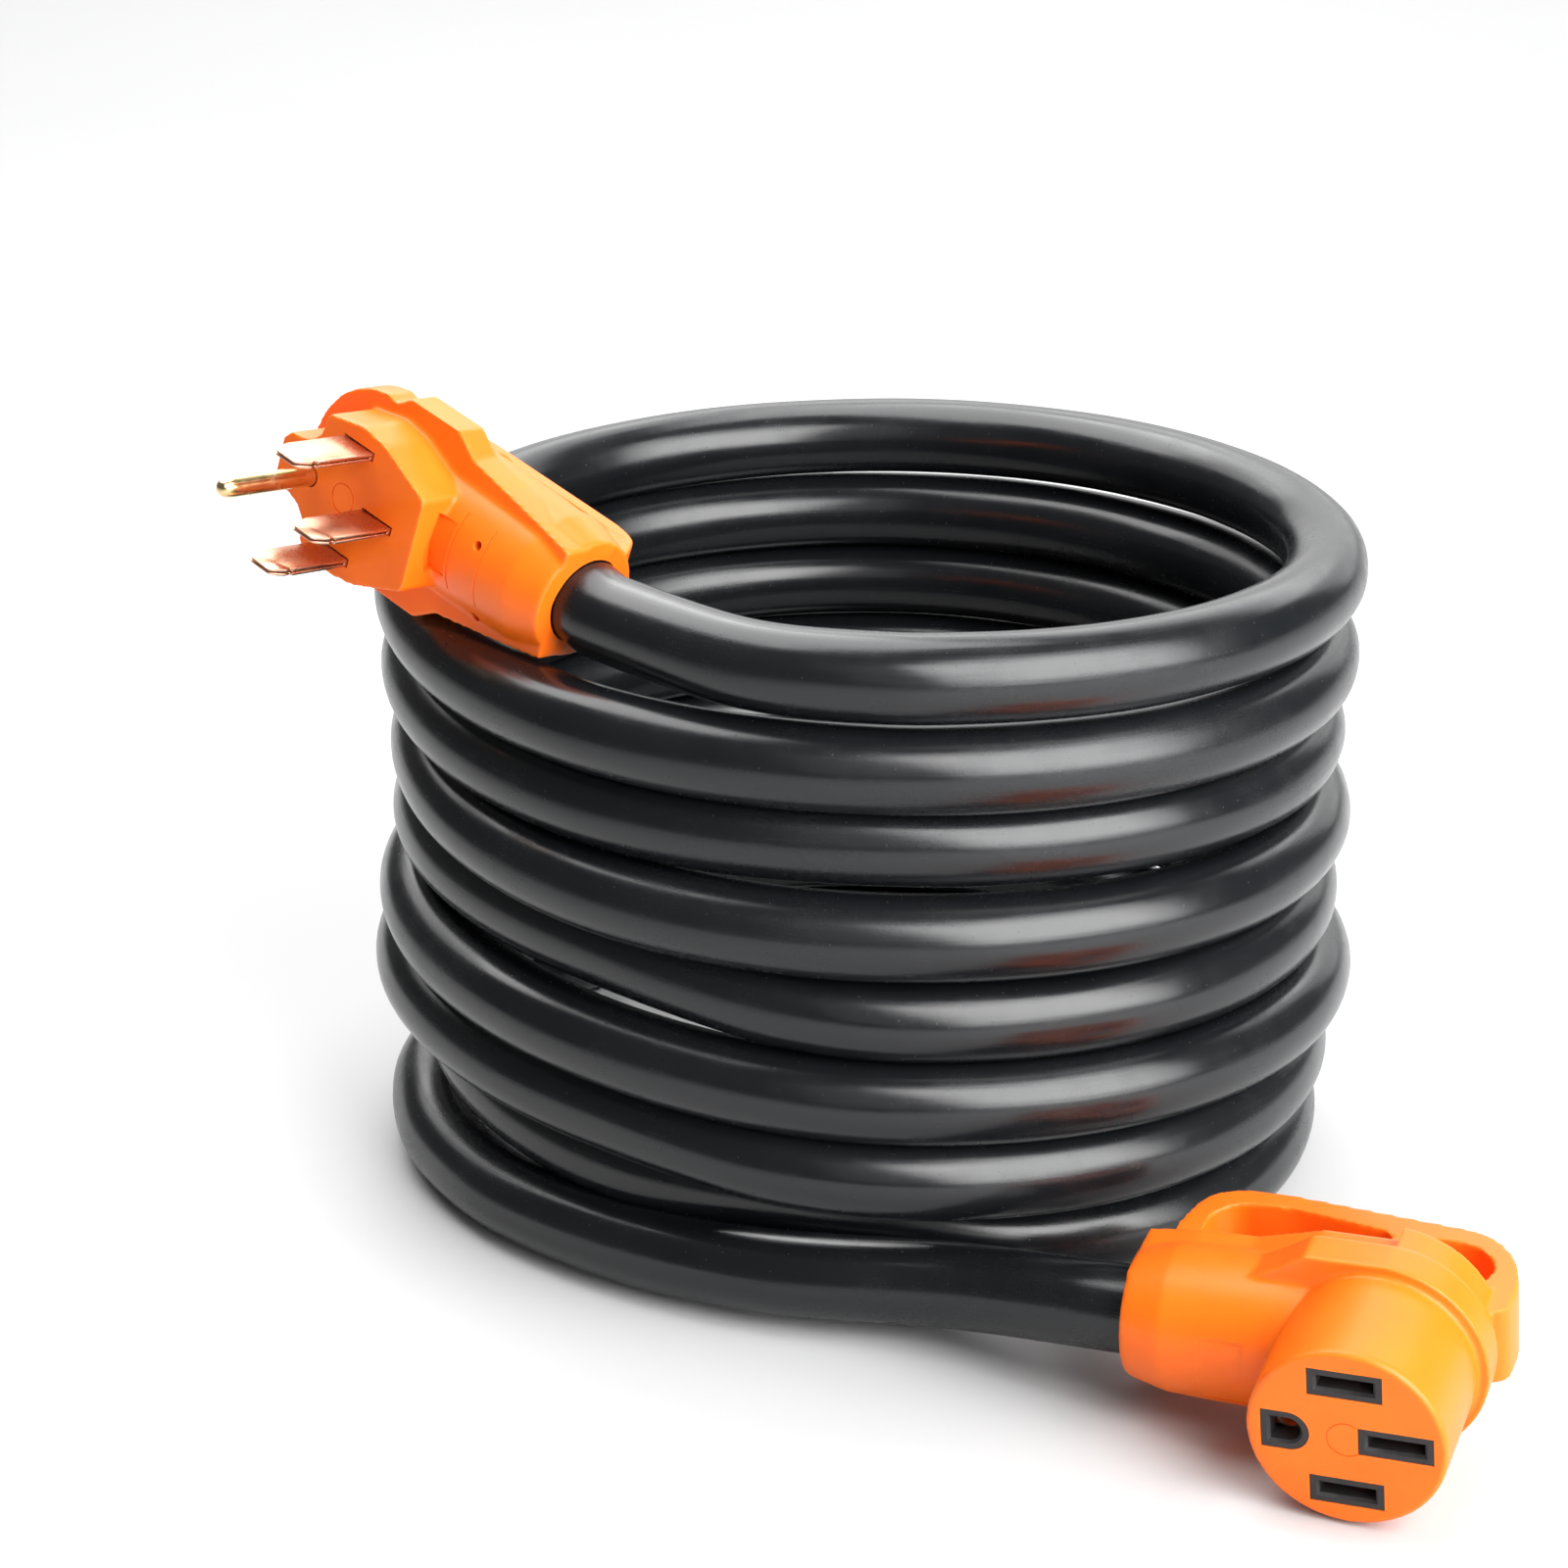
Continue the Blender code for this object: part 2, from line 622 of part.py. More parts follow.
def build_carrier(frame):
    """Dark insulator: a round block behind the face with a collar round each slot, flush with the face."""
    high = -CONN_WALL - GAP
    carrier = turned("connector_carrier", [(23.6 * MM, -17 * MM), (23.6 * MM, high)], (0.0, 0.0), "z",
                     40, frame, GREY)
    for key, (x, y) in poles(1).items():
        outline = shifted(collar_outline(key, COLLAR_WALL), x, y)
        join(carrier, prism("collar_" + key, outline, high - 2 * MM, -0.1 * MM, "z", frame))
    for key, (x, y) in poles(1).items():
        outline = shifted(collar_outline(key, 0.0), x, y)
        cut(carrier, prism("slot_" + key, outline, -20 * MM, 5 * MM, "z", frame))
        room = rectangle(BLADE_WIDTH + 3.4 * MM, 7.2 * MM) if key != "ground" else rectangle(
            11.0 * MM, 11.0 * MM)
        cut(carrier, prism("room_" + key, shifted(room, x, y), -20 * MM, -6.5 * MM, "z", frame))


def build_carrier_back(frame):
    """Cover that closes the contact chambers from behind; the crimps pass through it."""
    back = turned("connector_carrier_back", [(23.6 * MM, -21 * MM), (23.6 * MM, -17.35 * MM)],
                  (0.0, 0.0), "z", 40, frame, GREY)
    for key, (x, y) in poles(1).items():
        hole = turned("back_hole_" + key, [(4.4 * MM, -30 * MM), (4.4 * MM, -10 * MM)], (x, y), "z",
                      20, frame)
        cut(back, hole)


def build_contact(name, pole, frame):
    """Two spring leaves that grip a blade, joined at the foot, with a crimp behind."""
    x, y = pole
    half = BLADE_WIDTH / 2
    leaf_gap = BLADE_THICK / 2 + 0.15 * MM
    foot = -16.4 * MM
    upper = [(leaf_gap, -7 * MM), (leaf_gap - 0.45 * MM, -9 * MM), (leaf_gap, -12 * MM),
             (leaf_gap, foot + 1.0 * MM)]
    section = [(y + a, z) for a, z in upper]
    section += [(y - a, z) for a, z in upper[::-1]]
    outer = [(y - leaf_gap - 1.0 * MM, -7 * MM), (y - leaf_gap - 1.0 * MM, foot),
             (y + leaf_gap + 1.0 * MM, foot), (y + leaf_gap + 1.0 * MM, -7 * MM)]
    contact = prism(name, section + outer, x - half, x + half, "x", frame, COPPER)
    finish_contact(contact, name, pole, foot, frame)


def build_ground_contact(name, pole, frame):
    """Round sleeve for the ground pin, slit lengthwise."""
    foot = -16.4 * MM
    inner = PIN_RADIUS + 0.1 * MM
    sleeve = turned(name, [(inner + 1.0 * MM, foot), (inner + 1.0 * MM, -7 * MM)], pole, "z", 24,
                    frame, COPPER)
    cut(sleeve, turned(name + "_bore", [(inner, foot + 1 * MM), (inner, 0.0)], pole, "z", 24, frame))
    x, y = pole
    cut(sleeve, block(name + "_slit", (x, y - 0.4 * MM, foot + 2 * MM), (x + 8 * MM, y + 0.4 * MM, 0.0),
                      frame))
    finish_contact(sleeve, name, pole, foot, frame)


def finish_contact(contact, name, pole, foot, frame):
    neck = turned(name + "_neck", [(2.2 * MM, CONN_CRIMP - 1 * MM), (2.2 * MM, foot + 0.5 * MM)], pole,
                  "z", 16, frame)
    join(contact, neck)
    shell, hole = crimp(name + "_crimp", pole, CONN_CRIMP, frame, None)
    join(contact, shell)
    cut(contact, hole)


def build_connector():
    frame = head_frame("connector_frame", CONN_ORIGIN, CONN_TO_CORD, CONN_NORMAL)
    build_connector_body(frame)
    build_carrier(frame)
    build_carrier_back(frame)
    places = poles(1)
    for key in ("x", "y", "neutral"):
        build_contact("connector_contact_" + key, places[key], frame)
    build_ground_contact("connector_contact_ground", places["ground"], frame)
    add_wires("connector", places, CONN_CRIMP, CONN_AXIS, frame)


def main():
    clear_scene()
    build_coil()
    build_cords()
    build_plug()
    build_connector()


main()
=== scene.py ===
"""Shore power cord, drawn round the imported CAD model: a coiled black cord with an orange plug and connector.

Metres, +Z up, floor at z = 0. A head's pieces are made in the head's own frame, with its face at
z = 0, the face normal along +z and the cord leaving along +x, and are then carried to their place.
"""

import math

import bmesh
import bpy
from mathutils import Matrix, Vector, noise


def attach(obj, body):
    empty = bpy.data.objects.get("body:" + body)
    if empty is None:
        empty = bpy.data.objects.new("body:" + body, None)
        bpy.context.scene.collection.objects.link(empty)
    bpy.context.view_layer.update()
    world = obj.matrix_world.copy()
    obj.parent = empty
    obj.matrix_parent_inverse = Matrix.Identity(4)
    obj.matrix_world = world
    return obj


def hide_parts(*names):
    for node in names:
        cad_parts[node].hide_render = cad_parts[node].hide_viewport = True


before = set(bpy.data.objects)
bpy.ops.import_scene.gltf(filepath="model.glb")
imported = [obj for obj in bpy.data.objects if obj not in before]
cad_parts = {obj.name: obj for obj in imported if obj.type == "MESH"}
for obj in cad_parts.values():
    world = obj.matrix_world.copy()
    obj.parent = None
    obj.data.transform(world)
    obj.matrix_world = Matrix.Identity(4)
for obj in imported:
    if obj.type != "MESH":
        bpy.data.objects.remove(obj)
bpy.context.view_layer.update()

MM = 0.001
GAP = 0.35 * MM

# Cord and coil
CORD_RADIUS = 13.0 * MM
CORD_SIDES = 44
ROUTE_STEP = 6.0 * MM
COIL_CENTRE = (3.8 * MM, 131.8 * MM)
COIL_RADIUS = 143.3 * MM
TWIST_PITCH = 0.32  # one turn of the four wires round each other
TWIST_HEIGHT = 0.05 * MM
DENT_HEIGHT = 0.14 * MM
DENTS_PER_METRE = 22.0

# Heads
POLE_SPACING = 35.0 * MM
GROUND_OFFSET = 16.8 * MM
NEUTRAL_OFFSET = 13.8 * MM
BLADE_WIDTH = 13.0 * MM
BLADE_THICK = 2.3 * MM
BLADE_LENGTH = 28.5 * MM
PIN_RADIUS = 3.1 * MM
PIN_LENGTH = 35.0 * MM
STRAND_RADIUS = 2.3 * MM
CORD_END = 39.0 * MM
STRAIGHT_RUN = (CORD_END, 52 * MM, 65 * MM, 76 * MM, 84 * MM)
BARREL_LENGTH = 72.0 * MM
GRIP_HALF = 12.0 * MM
PLUG_GRIP_HALF = 8.0 * MM

PLUG_AXIS = -31.0 * MM
PLUG_ORIGIN = (-151.7 * MM, 59.3 * MM, 238.2 * MM)
PLUG_TO_CORD = (0.702, -0.659, -0.268)
PLUG_NORMAL = (-0.659, -0.745, 0.107)
PLUG_WALL = 5.0 * MM
PLUG_CRIMP = -10.5 * MM
CRIMP_WALL = 1.3 * MM

CONN_AXIS = -45.0 * MM
CONN_ORIGIN = (129.1 * MM, -120.1 * MM, 28.6 * MM)
CONN_TO_CORD = (-0.925, 0.377, -0.055)
CONN_NORMAL = (-0.37, -0.923, -0.106)
CONN_FACE_RADIUS = 27.5 * MM
CONN_WALL = 4.0 * MM
COLLAR_WALL = 2.4 * MM

POCKET_BACK = -10.5 * MM  # how far the room for the wires reaches behind the cord's axis

VOXEL = 0.75 * MM
LIT_POINT = (0.02, 0.05, 0.12)  # the lights face this point inside the coil


# Camera

def build_camera():
    data = bpy.data.cameras.new("camera")
    data.sensor_width = 36.0
    data.lens = 82.8
    data.clip_start = 0.01
    data.clip_end = 50.0
    camera = bpy.data.objects.new("camera", data)
    bpy.context.scene.collection.objects.link(camera)
    camera.location = (-0.0224, -0.9621, 0.5480)
    camera.rotation_euler = (math.radians(90.0 - 21.36), 0.0, 0.0)
    bpy.context.scene.camera = camera


# Node trees

class Nodes:
    """Short calls for the nodes that the materials share."""

    def __init__(self, name):
        self.material = bpy.data.materials.new(name)
        self.material.use_nodes = True
        self.tree = self.material.node_tree
        self.shader = self.tree.nodes["Principled BSDF"]
        self.place = self.tree.nodes.new("ShaderNodeTexCoord").outputs["Object"]

    def link(self, source, socket):
        self.tree.links.new(source, socket)

    def constant(self, **values):
        for name, value in values.items():
            self.shader.inputs[name.replace("_", " ")].default_value = value

    def stretched(self, source, scale):
        node = self.tree.nodes.new("ShaderNodeMapping")
        node.inputs["Scale"].default_value = scale
        self.link(source, node.inputs["Vector"])
        return node.outputs["Vector"]

    def noise(self, scale, detail=3.0, rough=0.5, at=None, distortion=0.0):
        node = self.tree.nodes.new("ShaderNodeTexNoise")
        node.inputs["Scale"].default_value = scale
        node.inputs["Detail"].default_value = detail
        node.inputs["Roughness"].default_value = rough
        node.inputs["Distortion"].default_value = distortion
        self.link(at or self.place, node.inputs["Vector"])
        return node.outputs["Fac"]

    def spots(self, scale, size):
        """1 in small specks, 0 elsewhere."""
        node = self.tree.nodes.new("ShaderNodeTexVoronoi")
        node.inputs["Scale"].default_value = scale
        self.link(self.place, node.inputs["Vector"])
        return self.spread(node.outputs["Distance"], size, size * 0.4, 0.0, 1.0)

    def spread(self, source, low, high, to_low, to_high):
        """Carries low..high of a value to to_low..to_high."""
        node = self.tree.nodes.new("ShaderNodeMapRange")
        for name, value in (("From Min", low), ("From Max", high), ("To Min", to_low), ("To Max", to_high)):
            node.inputs[name].default_value = value
        self.link(source, node.inputs["Value"])
        return node.outputs["Result"]

    def math(self, operation, a, b):
        node = self.tree.nodes.new("ShaderNodeMath")
        node.operation = operation
        for value, socket in ((a, node.inputs[0]), (b, node.inputs[1])):
            if isinstance(value, (int, float)):
                socket.default_value = value
            else:
                self.link(value, socket)
        return node.outputs[0]

    def colours(self, source, *stops):
        """Colour ramp through (position, colour) stops."""
        node = self.tree.nodes.new("ShaderNodeValToRGB")
        ramp = node.color_ramp
        while len(ramp.elements) < len(stops):
            ramp.elements.new(0.5)
        for element, (position, colour) in zip(ramp.elements, stops):
            element.position = position
            element.color = (*colour, 1.0)
        self.link(source, node.inputs["Fac"])
        return node.outputs["Color"]

    def blend(self, factor, a, b):
        node = self.tree.nodes.new("ShaderNodeMix")
        node.data_type = "RGBA"
        self.link(factor, node.inputs["Factor"])
        for value, socket in ((a, node.inputs[6]), (b, node.inputs[7])):
            if isinstance(value, tuple):
                socket.default_value = (*value, 1.0)
            else:
                self.link(value, socket)
        return node.outputs[2]

    def bump(self, height, distance, strength=1.0, under=None):
        node = self.tree.nodes.new("ShaderNodeBump")
        node.inputs["Strength"].default_value = strength
        node.inputs["Distance"].default_value = distance
        self.link(height, node.inputs["Height"])
        if under is not None:
            self.link(under, node.inputs["Normal"])
        return node.outputs["Normal"]

    def edges(self, low=0.51, high=0.56):
        # Pointiness mask of sharp convex edges; the materials use it to paint highlights along their edges.
        node = self.tree.nodes.new("ShaderNodeNewGeometry")
        return self.spread(node.outputs["Pointiness"], low, high, 0.0, 1.0)

    def set(self, name, source):
        self.link(source, self.shader.inputs[name])


def jacket_material():
    """Black thermoplastic jacket: satin, with drawn lines along it, dull patches and a little dust."""
    n = Nodes("cord_jacket_black")
    node = n.tree.nodes.new("ShaderNodeUVMap")
    node.uv_map = "along"
    along = node.outputs["UV"]
    drawn = n.noise(1.0, 3.0, 0.55, n.stretched(along, (9.0, 900.0, 1.0)))
    patches = n.noise(14.0, 4.0, 0.6)
    smudges = n.noise(70.0, 5.0, 0.7)
    grain = n.noise(1500.0, 2.0, 0.6)
    dust = n.spots(260.0, 0.09)
    base = n.colours(patches, (0.3, (0.0046, 0.0055, 0.0064)), (0.7, (0.0072, 0.0083, 0.0095)))
    n.set("Base Color", n.blend(n.math("MULTIPLY", dust, 0.35), base, (0.040, 0.040, 0.041)))
    rough = n.spread(patches, 0.3, 0.7, 0.18, 0.27)
    rough = n.math("ADD", rough, n.spread(smudges, 0.4, 0.75, -0.015, 0.07))
    rough = n.math("ADD", rough, n.spread(drawn, 0.3, 0.7, -0.02, 0.03))
    n.set("Roughness", n.math("ADD", rough, n.math("MULTIPLY", dust, 0.2)))
    lines = n.bump(drawn, 0.00005, 0.5)
    n.set("Normal", n.bump(grain, 0.00003, 0.6, lines))
    n.constant(Specular_IOR_Level=0.5)
    return n.material


def orange_material():
    """Moulded orange PVC: satin, faintly mottled, with a painted highlight that makes its edges paler."""
    n = Nodes("moulded_orange_pvc")
    clouds = n.noise(38.0, 4.0, 0.6)
    flow = n.noise(9.0, 3.0, 0.5, distortion=1.5)
    grain = n.noise(1700.0, 2.0, 0.65)
    base = n.colours(clouds, (0.3, (0.93, 0.145, 0.0045)), (0.7, (0.97, 0.170, 0.0065)))
    base = n.blend(n.spread(flow, 0.35, 0.75, 0.0, 0.22), base, (0.98, 0.15, 0.008))
    # Painted highlight: edges found by pointiness are blended towards a paler, yellower orange.
    n.set("Base Color", n.blend(n.math("MULTIPLY", n.edges(), 0.35), base, (1.0, 0.24, 0.035)))
    n.set("Roughness", n.math("ADD", n.spread(clouds, 0.3, 0.7, 0.34, 0.43),
                              n.spread(grain, 0.3, 0.7, -0.03, 0.03)))
    wide = n.bump(flow, 0.0004, 0.25)
    n.set("Normal", n.bump(grain, 0.00004, 0.55, wide))
    n.constant(Specular_IOR_Level=0.32, Subsurface_Weight=0.08, Subsurface_Scale=0.002,
               Subsurface_Radius=(1.0, 0.3, 0.05))
    return n.material


def insulator_material():
    """Dark glass-filled plastic of the slot rims and the inner blocks."""
    n = Nodes("dark_grey_insulator")
    fibres = n.noise(420.0, 3.0, 0.6)
    grain = n.noise(2200.0, 2.0, 0.6)
    n.set("Base Color", n.colours(fibres, (0.3, (0.014, 0.012, 0.013)), (0.75, (0.028, 0.025, 0.026))))
    n.set("Roughness", n.spread(fibres, 0.3, 0.7, 0.42, 0.58))
    n.set("Normal", n.bump(grain, 0.00004, 0.6))
    n.constant(Specular_IOR_Level=0.4)
    return n.material


def copper_material():
    """Plated copper sheet with fine lines from rolling, finger haze, and edges made paler by a painted
    highlight.
    """
    n = Nodes("rolled_copper_sheet")
    haze = n.noise(90.0, 3.0, 0.5)
    rolled = n.noise(1.0, 3.0, 0.6, n.stretched(n.place, (700.0, 700.0, 6000.0)))
    base = n.colours(haze, (0.28, (0.50, 0.225, 0.115)), (0.72, (0.56, 0.265, 0.145)))
    # Painted highlight: edges found by pointiness are blended towards pale copper.
    n.set("Base Color", n.blend(n.math("MULTIPLY", n.edges(0.5, 0.58), 0.5), base, (0.97, 0.74, 0.60)))
    n.set("Roughness", n.math("ADD", n.spread(haze, 0.3, 0.7, 0.22, 0.36),
                              n.spread(rolled, 0.3, 0.7, -0.04, 0.05)))
    n.set("Normal", n.bump(rolled, 0.00004, 0.35))
    n.constant(Metallic=1.0)
    return n.material


def brass_material():
    """Turned brass pin with fine rings from the lathe and a painted highlight along its edges."""
    n = Nodes("turned_brass")
    haze = n.noise(150.0, 4.0, 0.6)
    rings = n.noise(2600.0, 2.0, 0.5)
    base = n.colours(haze, (0.28, (0.66, 0.43, 0.16)), (0.72, (0.86, 0.66, 0.34)))
    # Painted highlight: edges found by pointiness are blended towards pale brass.
    n.set("Base Color", n.blend(n.math("MULTIPLY", n.edges(0.5, 0.58), 0.5), base, (0.98, 0.84, 0.55)))
    n.set("Roughness", n.spread(haze, 0.3, 0.7, 0.16, 0.30))
    n.set("Normal", n.bump(rings, 0.00003, 0.3))
    n.constant(Metallic=1.0)
    return n.material


def strand_material():
    """Bare copper wires laid together."""
    n = Nodes("bare_copper_strands")
    lay = n.noise(1.0, 2.0, 0.5, n.stretched(n.place, (2600.0, 2600.0, 900.0)))
    n.set("Base Color", n.colours(lay, (0.35, (0.42, 0.19, 0.10)), (0.65, (0.85, 0.48, 0.33))))
    n.set("Roughness", n.spread(lay, 0.3, 0.7, 0.25, 0.45))
    n.set("Normal", n.bump(lay, 0.0003, 0.8))
    n.constant(Metallic=1.0)
    return n.material


def insulation_material(name, dark, light):
    """Coloured insulation of one conductor, with faint drawn marks."""
    n = Nodes(name)
    mottle = n.noise(160.0, 4.0, 0.6)
    grain = n.noise(1800.0, 2.0, 0.6)
    n.set("Base Color", n.colours(mottle, (0.3, dark), (0.7, light)))
    n.set("Roughness", n.spread(mottle, 0.3, 0.7, 0.32, 0.48))
    n.set("Normal", n.bump(grain, 0.00004, 0.5))
    return n.material


# Mesh helpers

def new_object(name, mesh):
    obj = bpy.data.objects.new(name, mesh)
    bpy.context.scene.collection.objects.link(obj)
    return obj


def mesh_object(name, points, faces):
    shape = bmesh.new()
    corners = [shape.verts.new(p) for p in points]
    for face in faces:
        shape.faces.new([corners[i] for i in face])
    bmesh.ops.recalc_face_normals(shape, faces=shape.faces)
    mesh = bpy.data.meshes.new(name)
    shape.to_mesh(mesh)
    shape.free()
    return new_object(name, mesh)


def stacked(name, rings):
    """Closed solid through a list of equal-length rings of points."""
    size = len(rings[0])
    points = [p for ring in rings for p in ring]
    faces = []
    for row in range(len(rings) - 1):
        low = row * size
        for i in range(size):
            j = (i + 1) % size
            faces.append((low + i, low + j, low + size + j, low + size + i))
    faces.append(tuple(range(size)))
    faces.append(tuple(range(len(points) - size, len(points))))
    return mesh_object(name, points, faces)


def prism(name, outline, low, high, axis="z"):
    def place(a, b, along):
        return {"z": (a, b, along), "y": (a, along, b), "x": (along, a, b)}[axis]
    return stacked(name, [[place(a, b, along) for a, b in outline] for along in (low, high)])


def turned(name, profile, centre=(0.0, 0.0), axis="z", sides=64):
    rings = []
    for radius, along in profile:
        ring = []
        for i in range(sides):
            angle = 2 * math.pi * i / sides
            a = centre[0] + radius * math.cos(angle)
            b = centre[1] + radius * math.sin(angle)
            ring.append((a, b, along) if axis == "z" else (along, a, b))
        rings.append(ring)
    return stacked(name, rings)


def block(name, low, high):
    outline = [(low[0], low[1]), (high[0], low[1]), (high[0], high[1]), (low[0], high[1])]
    return prism(name, outline, low[2], high[2])


def settle(obj):
    """Applies obj's modifiers and removes the shapes that its booleans used."""
    used = [m.object for m in obj.modifiers if m.type == "BOOLEAN"]
    graph = bpy.context.evaluated_depsgraph_get()
    mesh = bpy.data.meshes.new_from_object(obj.evaluated_get(graph))
    obj.modifiers.clear()
    obj.data = mesh
    for other in used:
        bpy.data.objects.remove(other)
    return obj


def combine(obj, others, operation):
    for other in others:
        modifier = obj.modifiers.new(other.name, "BOOLEAN")
        modifier.operation = operation
        modifier.solver = "EXACT"
        modifier.object = other
        other.hide_render = True
    return obj


def softened(obj, voxel=VOXEL, passes=4):
    """Rounds every edge and inner corner a little, as a mould does."""
    remesh = obj.modifiers.new("remesh", "REMESH")
    remesh.mode = "VOXEL"
    remesh.voxel_size = voxel
    smooth = obj.modifiers.new("smooth", "SMOOTH")
    smooth.factor = 0.5
    smooth.iterations = passes
    return obj


def bevelled(obj, width, segments=2, degrees=35.0):
    bevel = obj.modifiers.new("bevel", "BEVEL")
    bevel.width = width
    bevel.segments = segments
    bevel.limit_method = "ANGLE"
    bevel.angle_limit = math.radians(degrees)
    bevel.use_clamp_overlap = True
    return obj


def shade(obj, degrees):
    for polygon in obj.data.polygons:
        polygon.use_smooth = True
    obj.data.set_sharp_from_angle(angle=math.radians(degrees))


def finished(obj, place, material, slot, *nodes, degrees=50.0):
    """Carries a piece to its place in the row frame and lets it stand for its CAD nodes."""
    obj.data.transform(place)
    shade(obj, degrees)
    obj.data.materials.clear()
    obj.data.materials.append(material)
    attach(obj, "root")
    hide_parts(*nodes)
    return obj


def head_matrix(origin, to_cord, normal):
    z = Vector(normal).normalized()
    x = Vector(to_cord)
    x = (x - x.dot(z) * z).normalized()
    y = z.cross(x)
    return Matrix.Translation(origin) @ Matrix((x, y, z)).transposed().to_4x4()


PLUG_PLACE = head_matrix(PLUG_ORIGIN, PLUG_TO_CORD, PLUG_NORMAL)
CONN_PLACE = head_matrix(CONN_ORIGIN, CONN_TO_CORD, CONN_NORMAL)


# Cord

# Height of the centre line and how far it stands outside COIL_RADIUS, in mm, as each turn passes
# the front, the right, the back, the left and the front left of the coil.
STATION_ANGLES = (0.0, 90.0, 180.0, 270.0, 326.0)
TURNS = (
    ((208.2, 0.0), (200.5, 1.5), (197.0, 0.5), (193.0, -0.5), (184.6, 2.0)),
    ((181.2, 1.5), (172.4, 0.2), (170.4, -1.0), (168.0, -1.5), (159.6, -2.5)),
    ((156.8, -5.0), (146.0, -2.4), (144.4, 1.0), (143.0, -3.8), (134.2, 1.5)),
    ((129.3, 1.0), (119.4, 0.4), (118.2, -0.8), (117.4, -3.0), (111.2, -9.0)),
    ((102.8, -2.0), (92.9, -2.2), (92.0, 1.2), (91.0, 2.2), (83.2, -1.5)),
    ((77.2, 1.0), (66.3, 3.4), (65.8, -0.4), (65.8, 4.6), (58.3, -7.0)),
    ((52.4, 0.5), (39.8, -3.4), (39.4, -5.0), (43.0, -11.0), (35.5, -17.5)),
)
# The last turn is pushed inwards by the lead that passes in front of it, reaches the floor at the
# right, and comes round again as that lead.
LAST_TURN = (
    (2505.0, 31.5, -24.5), (2522.0, 27.5, -22.5), (2542.0, 20.0, -13.5), (2565.0, 15.5, -7.5),
    (2610.0, 13.2, -5.0), (2700.0, 13.2, -1.5), (2790.0, 13.2, 1.2), (2805.0, 13.2, 0.0),
    (2820.0, 13.2, -3.2), (2832.0, 13.4, -6.0), (2848.0, 14.2, -7.5), (2864.0, 15.4, -5.5),
    (2874.0, 16.6, -2.3), (2889.0, 19.6, 10.0),
)
KNOT_EVERY = 11.0  # degrees between the points of the route round the coil
STEPS_BETWEEN_KNOTS = 24
LEAD_KNOT = (-38.0 * MM, -134.0 * MM, 209.3 * MM)  # where the plug's lead joins the top turn


def by_coil(x, y, height):
    return Vector((COIL_CENTRE[0] + x, COIL_CENTRE[1] + y, height))


def on_coil(turned_by, height, out=0.0):
    """A point of the coil, in degrees round from its front."""
    angle = math.radians(turned_by - 90.0)
    radius = COIL_RADIUS + out
    return by_coil(radius * math.cos(angle), radius * math.sin(angle), height)


def coil_points():
    """Points at even angles along the stations of every turn, on a smooth curve through them."""
    stations = [(360.0 * i + angle, *station) for i, turn in enumerate(TURNS)
                for angle, station in zip(STATION_ANGLES, turn)] + list(LAST_TURN)
    slopes = []
    for i in range(len(stations)):
        before, after = stations[max(i - 1, 0)], stations[min(i + 1, len(stations) - 1)]
        slopes.append([(after[k] - before[k]) / (after[0] - before[0]) for k in (1, 2)])
    points = []
    for i in range(len(stations) - 1):
        start, end = stations[i], stations[i + 1]
        span = end[0] - start[0]
        count = max(1, round(span / KNOT_EVERY))
        for part in range(count):
            t = part / count
            values = [
                (2 * t ** 3 - 3 * t ** 2 + 1) * start[k + 1] + (t ** 3 - 2 * t ** 2 + t) * span * slopes[i][k]
                + (3 * t ** 2 - 2 * t ** 3) * end[k + 1] + (t ** 3 - t ** 2) * span * slopes[i + 1][k]
                for k in (0, 1)]
            points.append(on_coil(start[0] + span * t, values[0] * MM, values[1] * MM))
    points.append(on_coil(stations[-1][0], stations[-1][1] * MM, stations[-1][2] * MM))
    return points


def smooth_route(knots, step):
    """Points at even steps along a smooth curve through the given points."""
    knots = [2 * knots[0] - knots[1]] + knots + [2 * knots[-1] - knots[-2]]
    dense = []
    for i in range(1, len(knots) - 2):
        before, start, end, after = knots[i - 1:i + 3]
        for k in range(STEPS_BETWEEN_KNOTS):
            t = k / STEPS_BETWEEN_KNOTS
            dense.append(0.5 * (
                2 * start
                + (end - before) * t
                + (2 * before - 5 * start + 4 * end - after) * t ** 2
                + (3 * start - before - 3 * end + after) * t ** 3
            ))
    dense.append(knots[-2])
    lengths = [0.0]
    for a, b in zip(dense, dense[1:]):
        lengths.append(lengths[-1] + (b - a).length)
    count = max(2, round(lengths[-1] / step))
    route = []
    k = 0
    for i in range(count + 1):
        wanted = lengths[-1] * i / count
        while k < len(dense) - 2 and lengths[k + 1] < wanted:
            k += 1
        share = (wanted - lengths[k]) / (lengths[k + 1] - lengths[k])
        route.append(dense[k].lerp(dense[k + 1], share))
    return route


def cord_knots():
    """From inside the plug, down the coil, to inside the connector."""
    plug_end = [PLUG_PLACE @ Vector((x, 0.0, PLUG_AXIS)) for x in STRAIGHT_RUN]
    plug_end.append(by_coil(*LEAD_KNOT))
    lead = [CONN_PLACE @ Vector((x, 0.0, CONN_AXIS)) for x in STRAIGHT_RUN[::-1]]
    return plug_end + coil_points() + lead


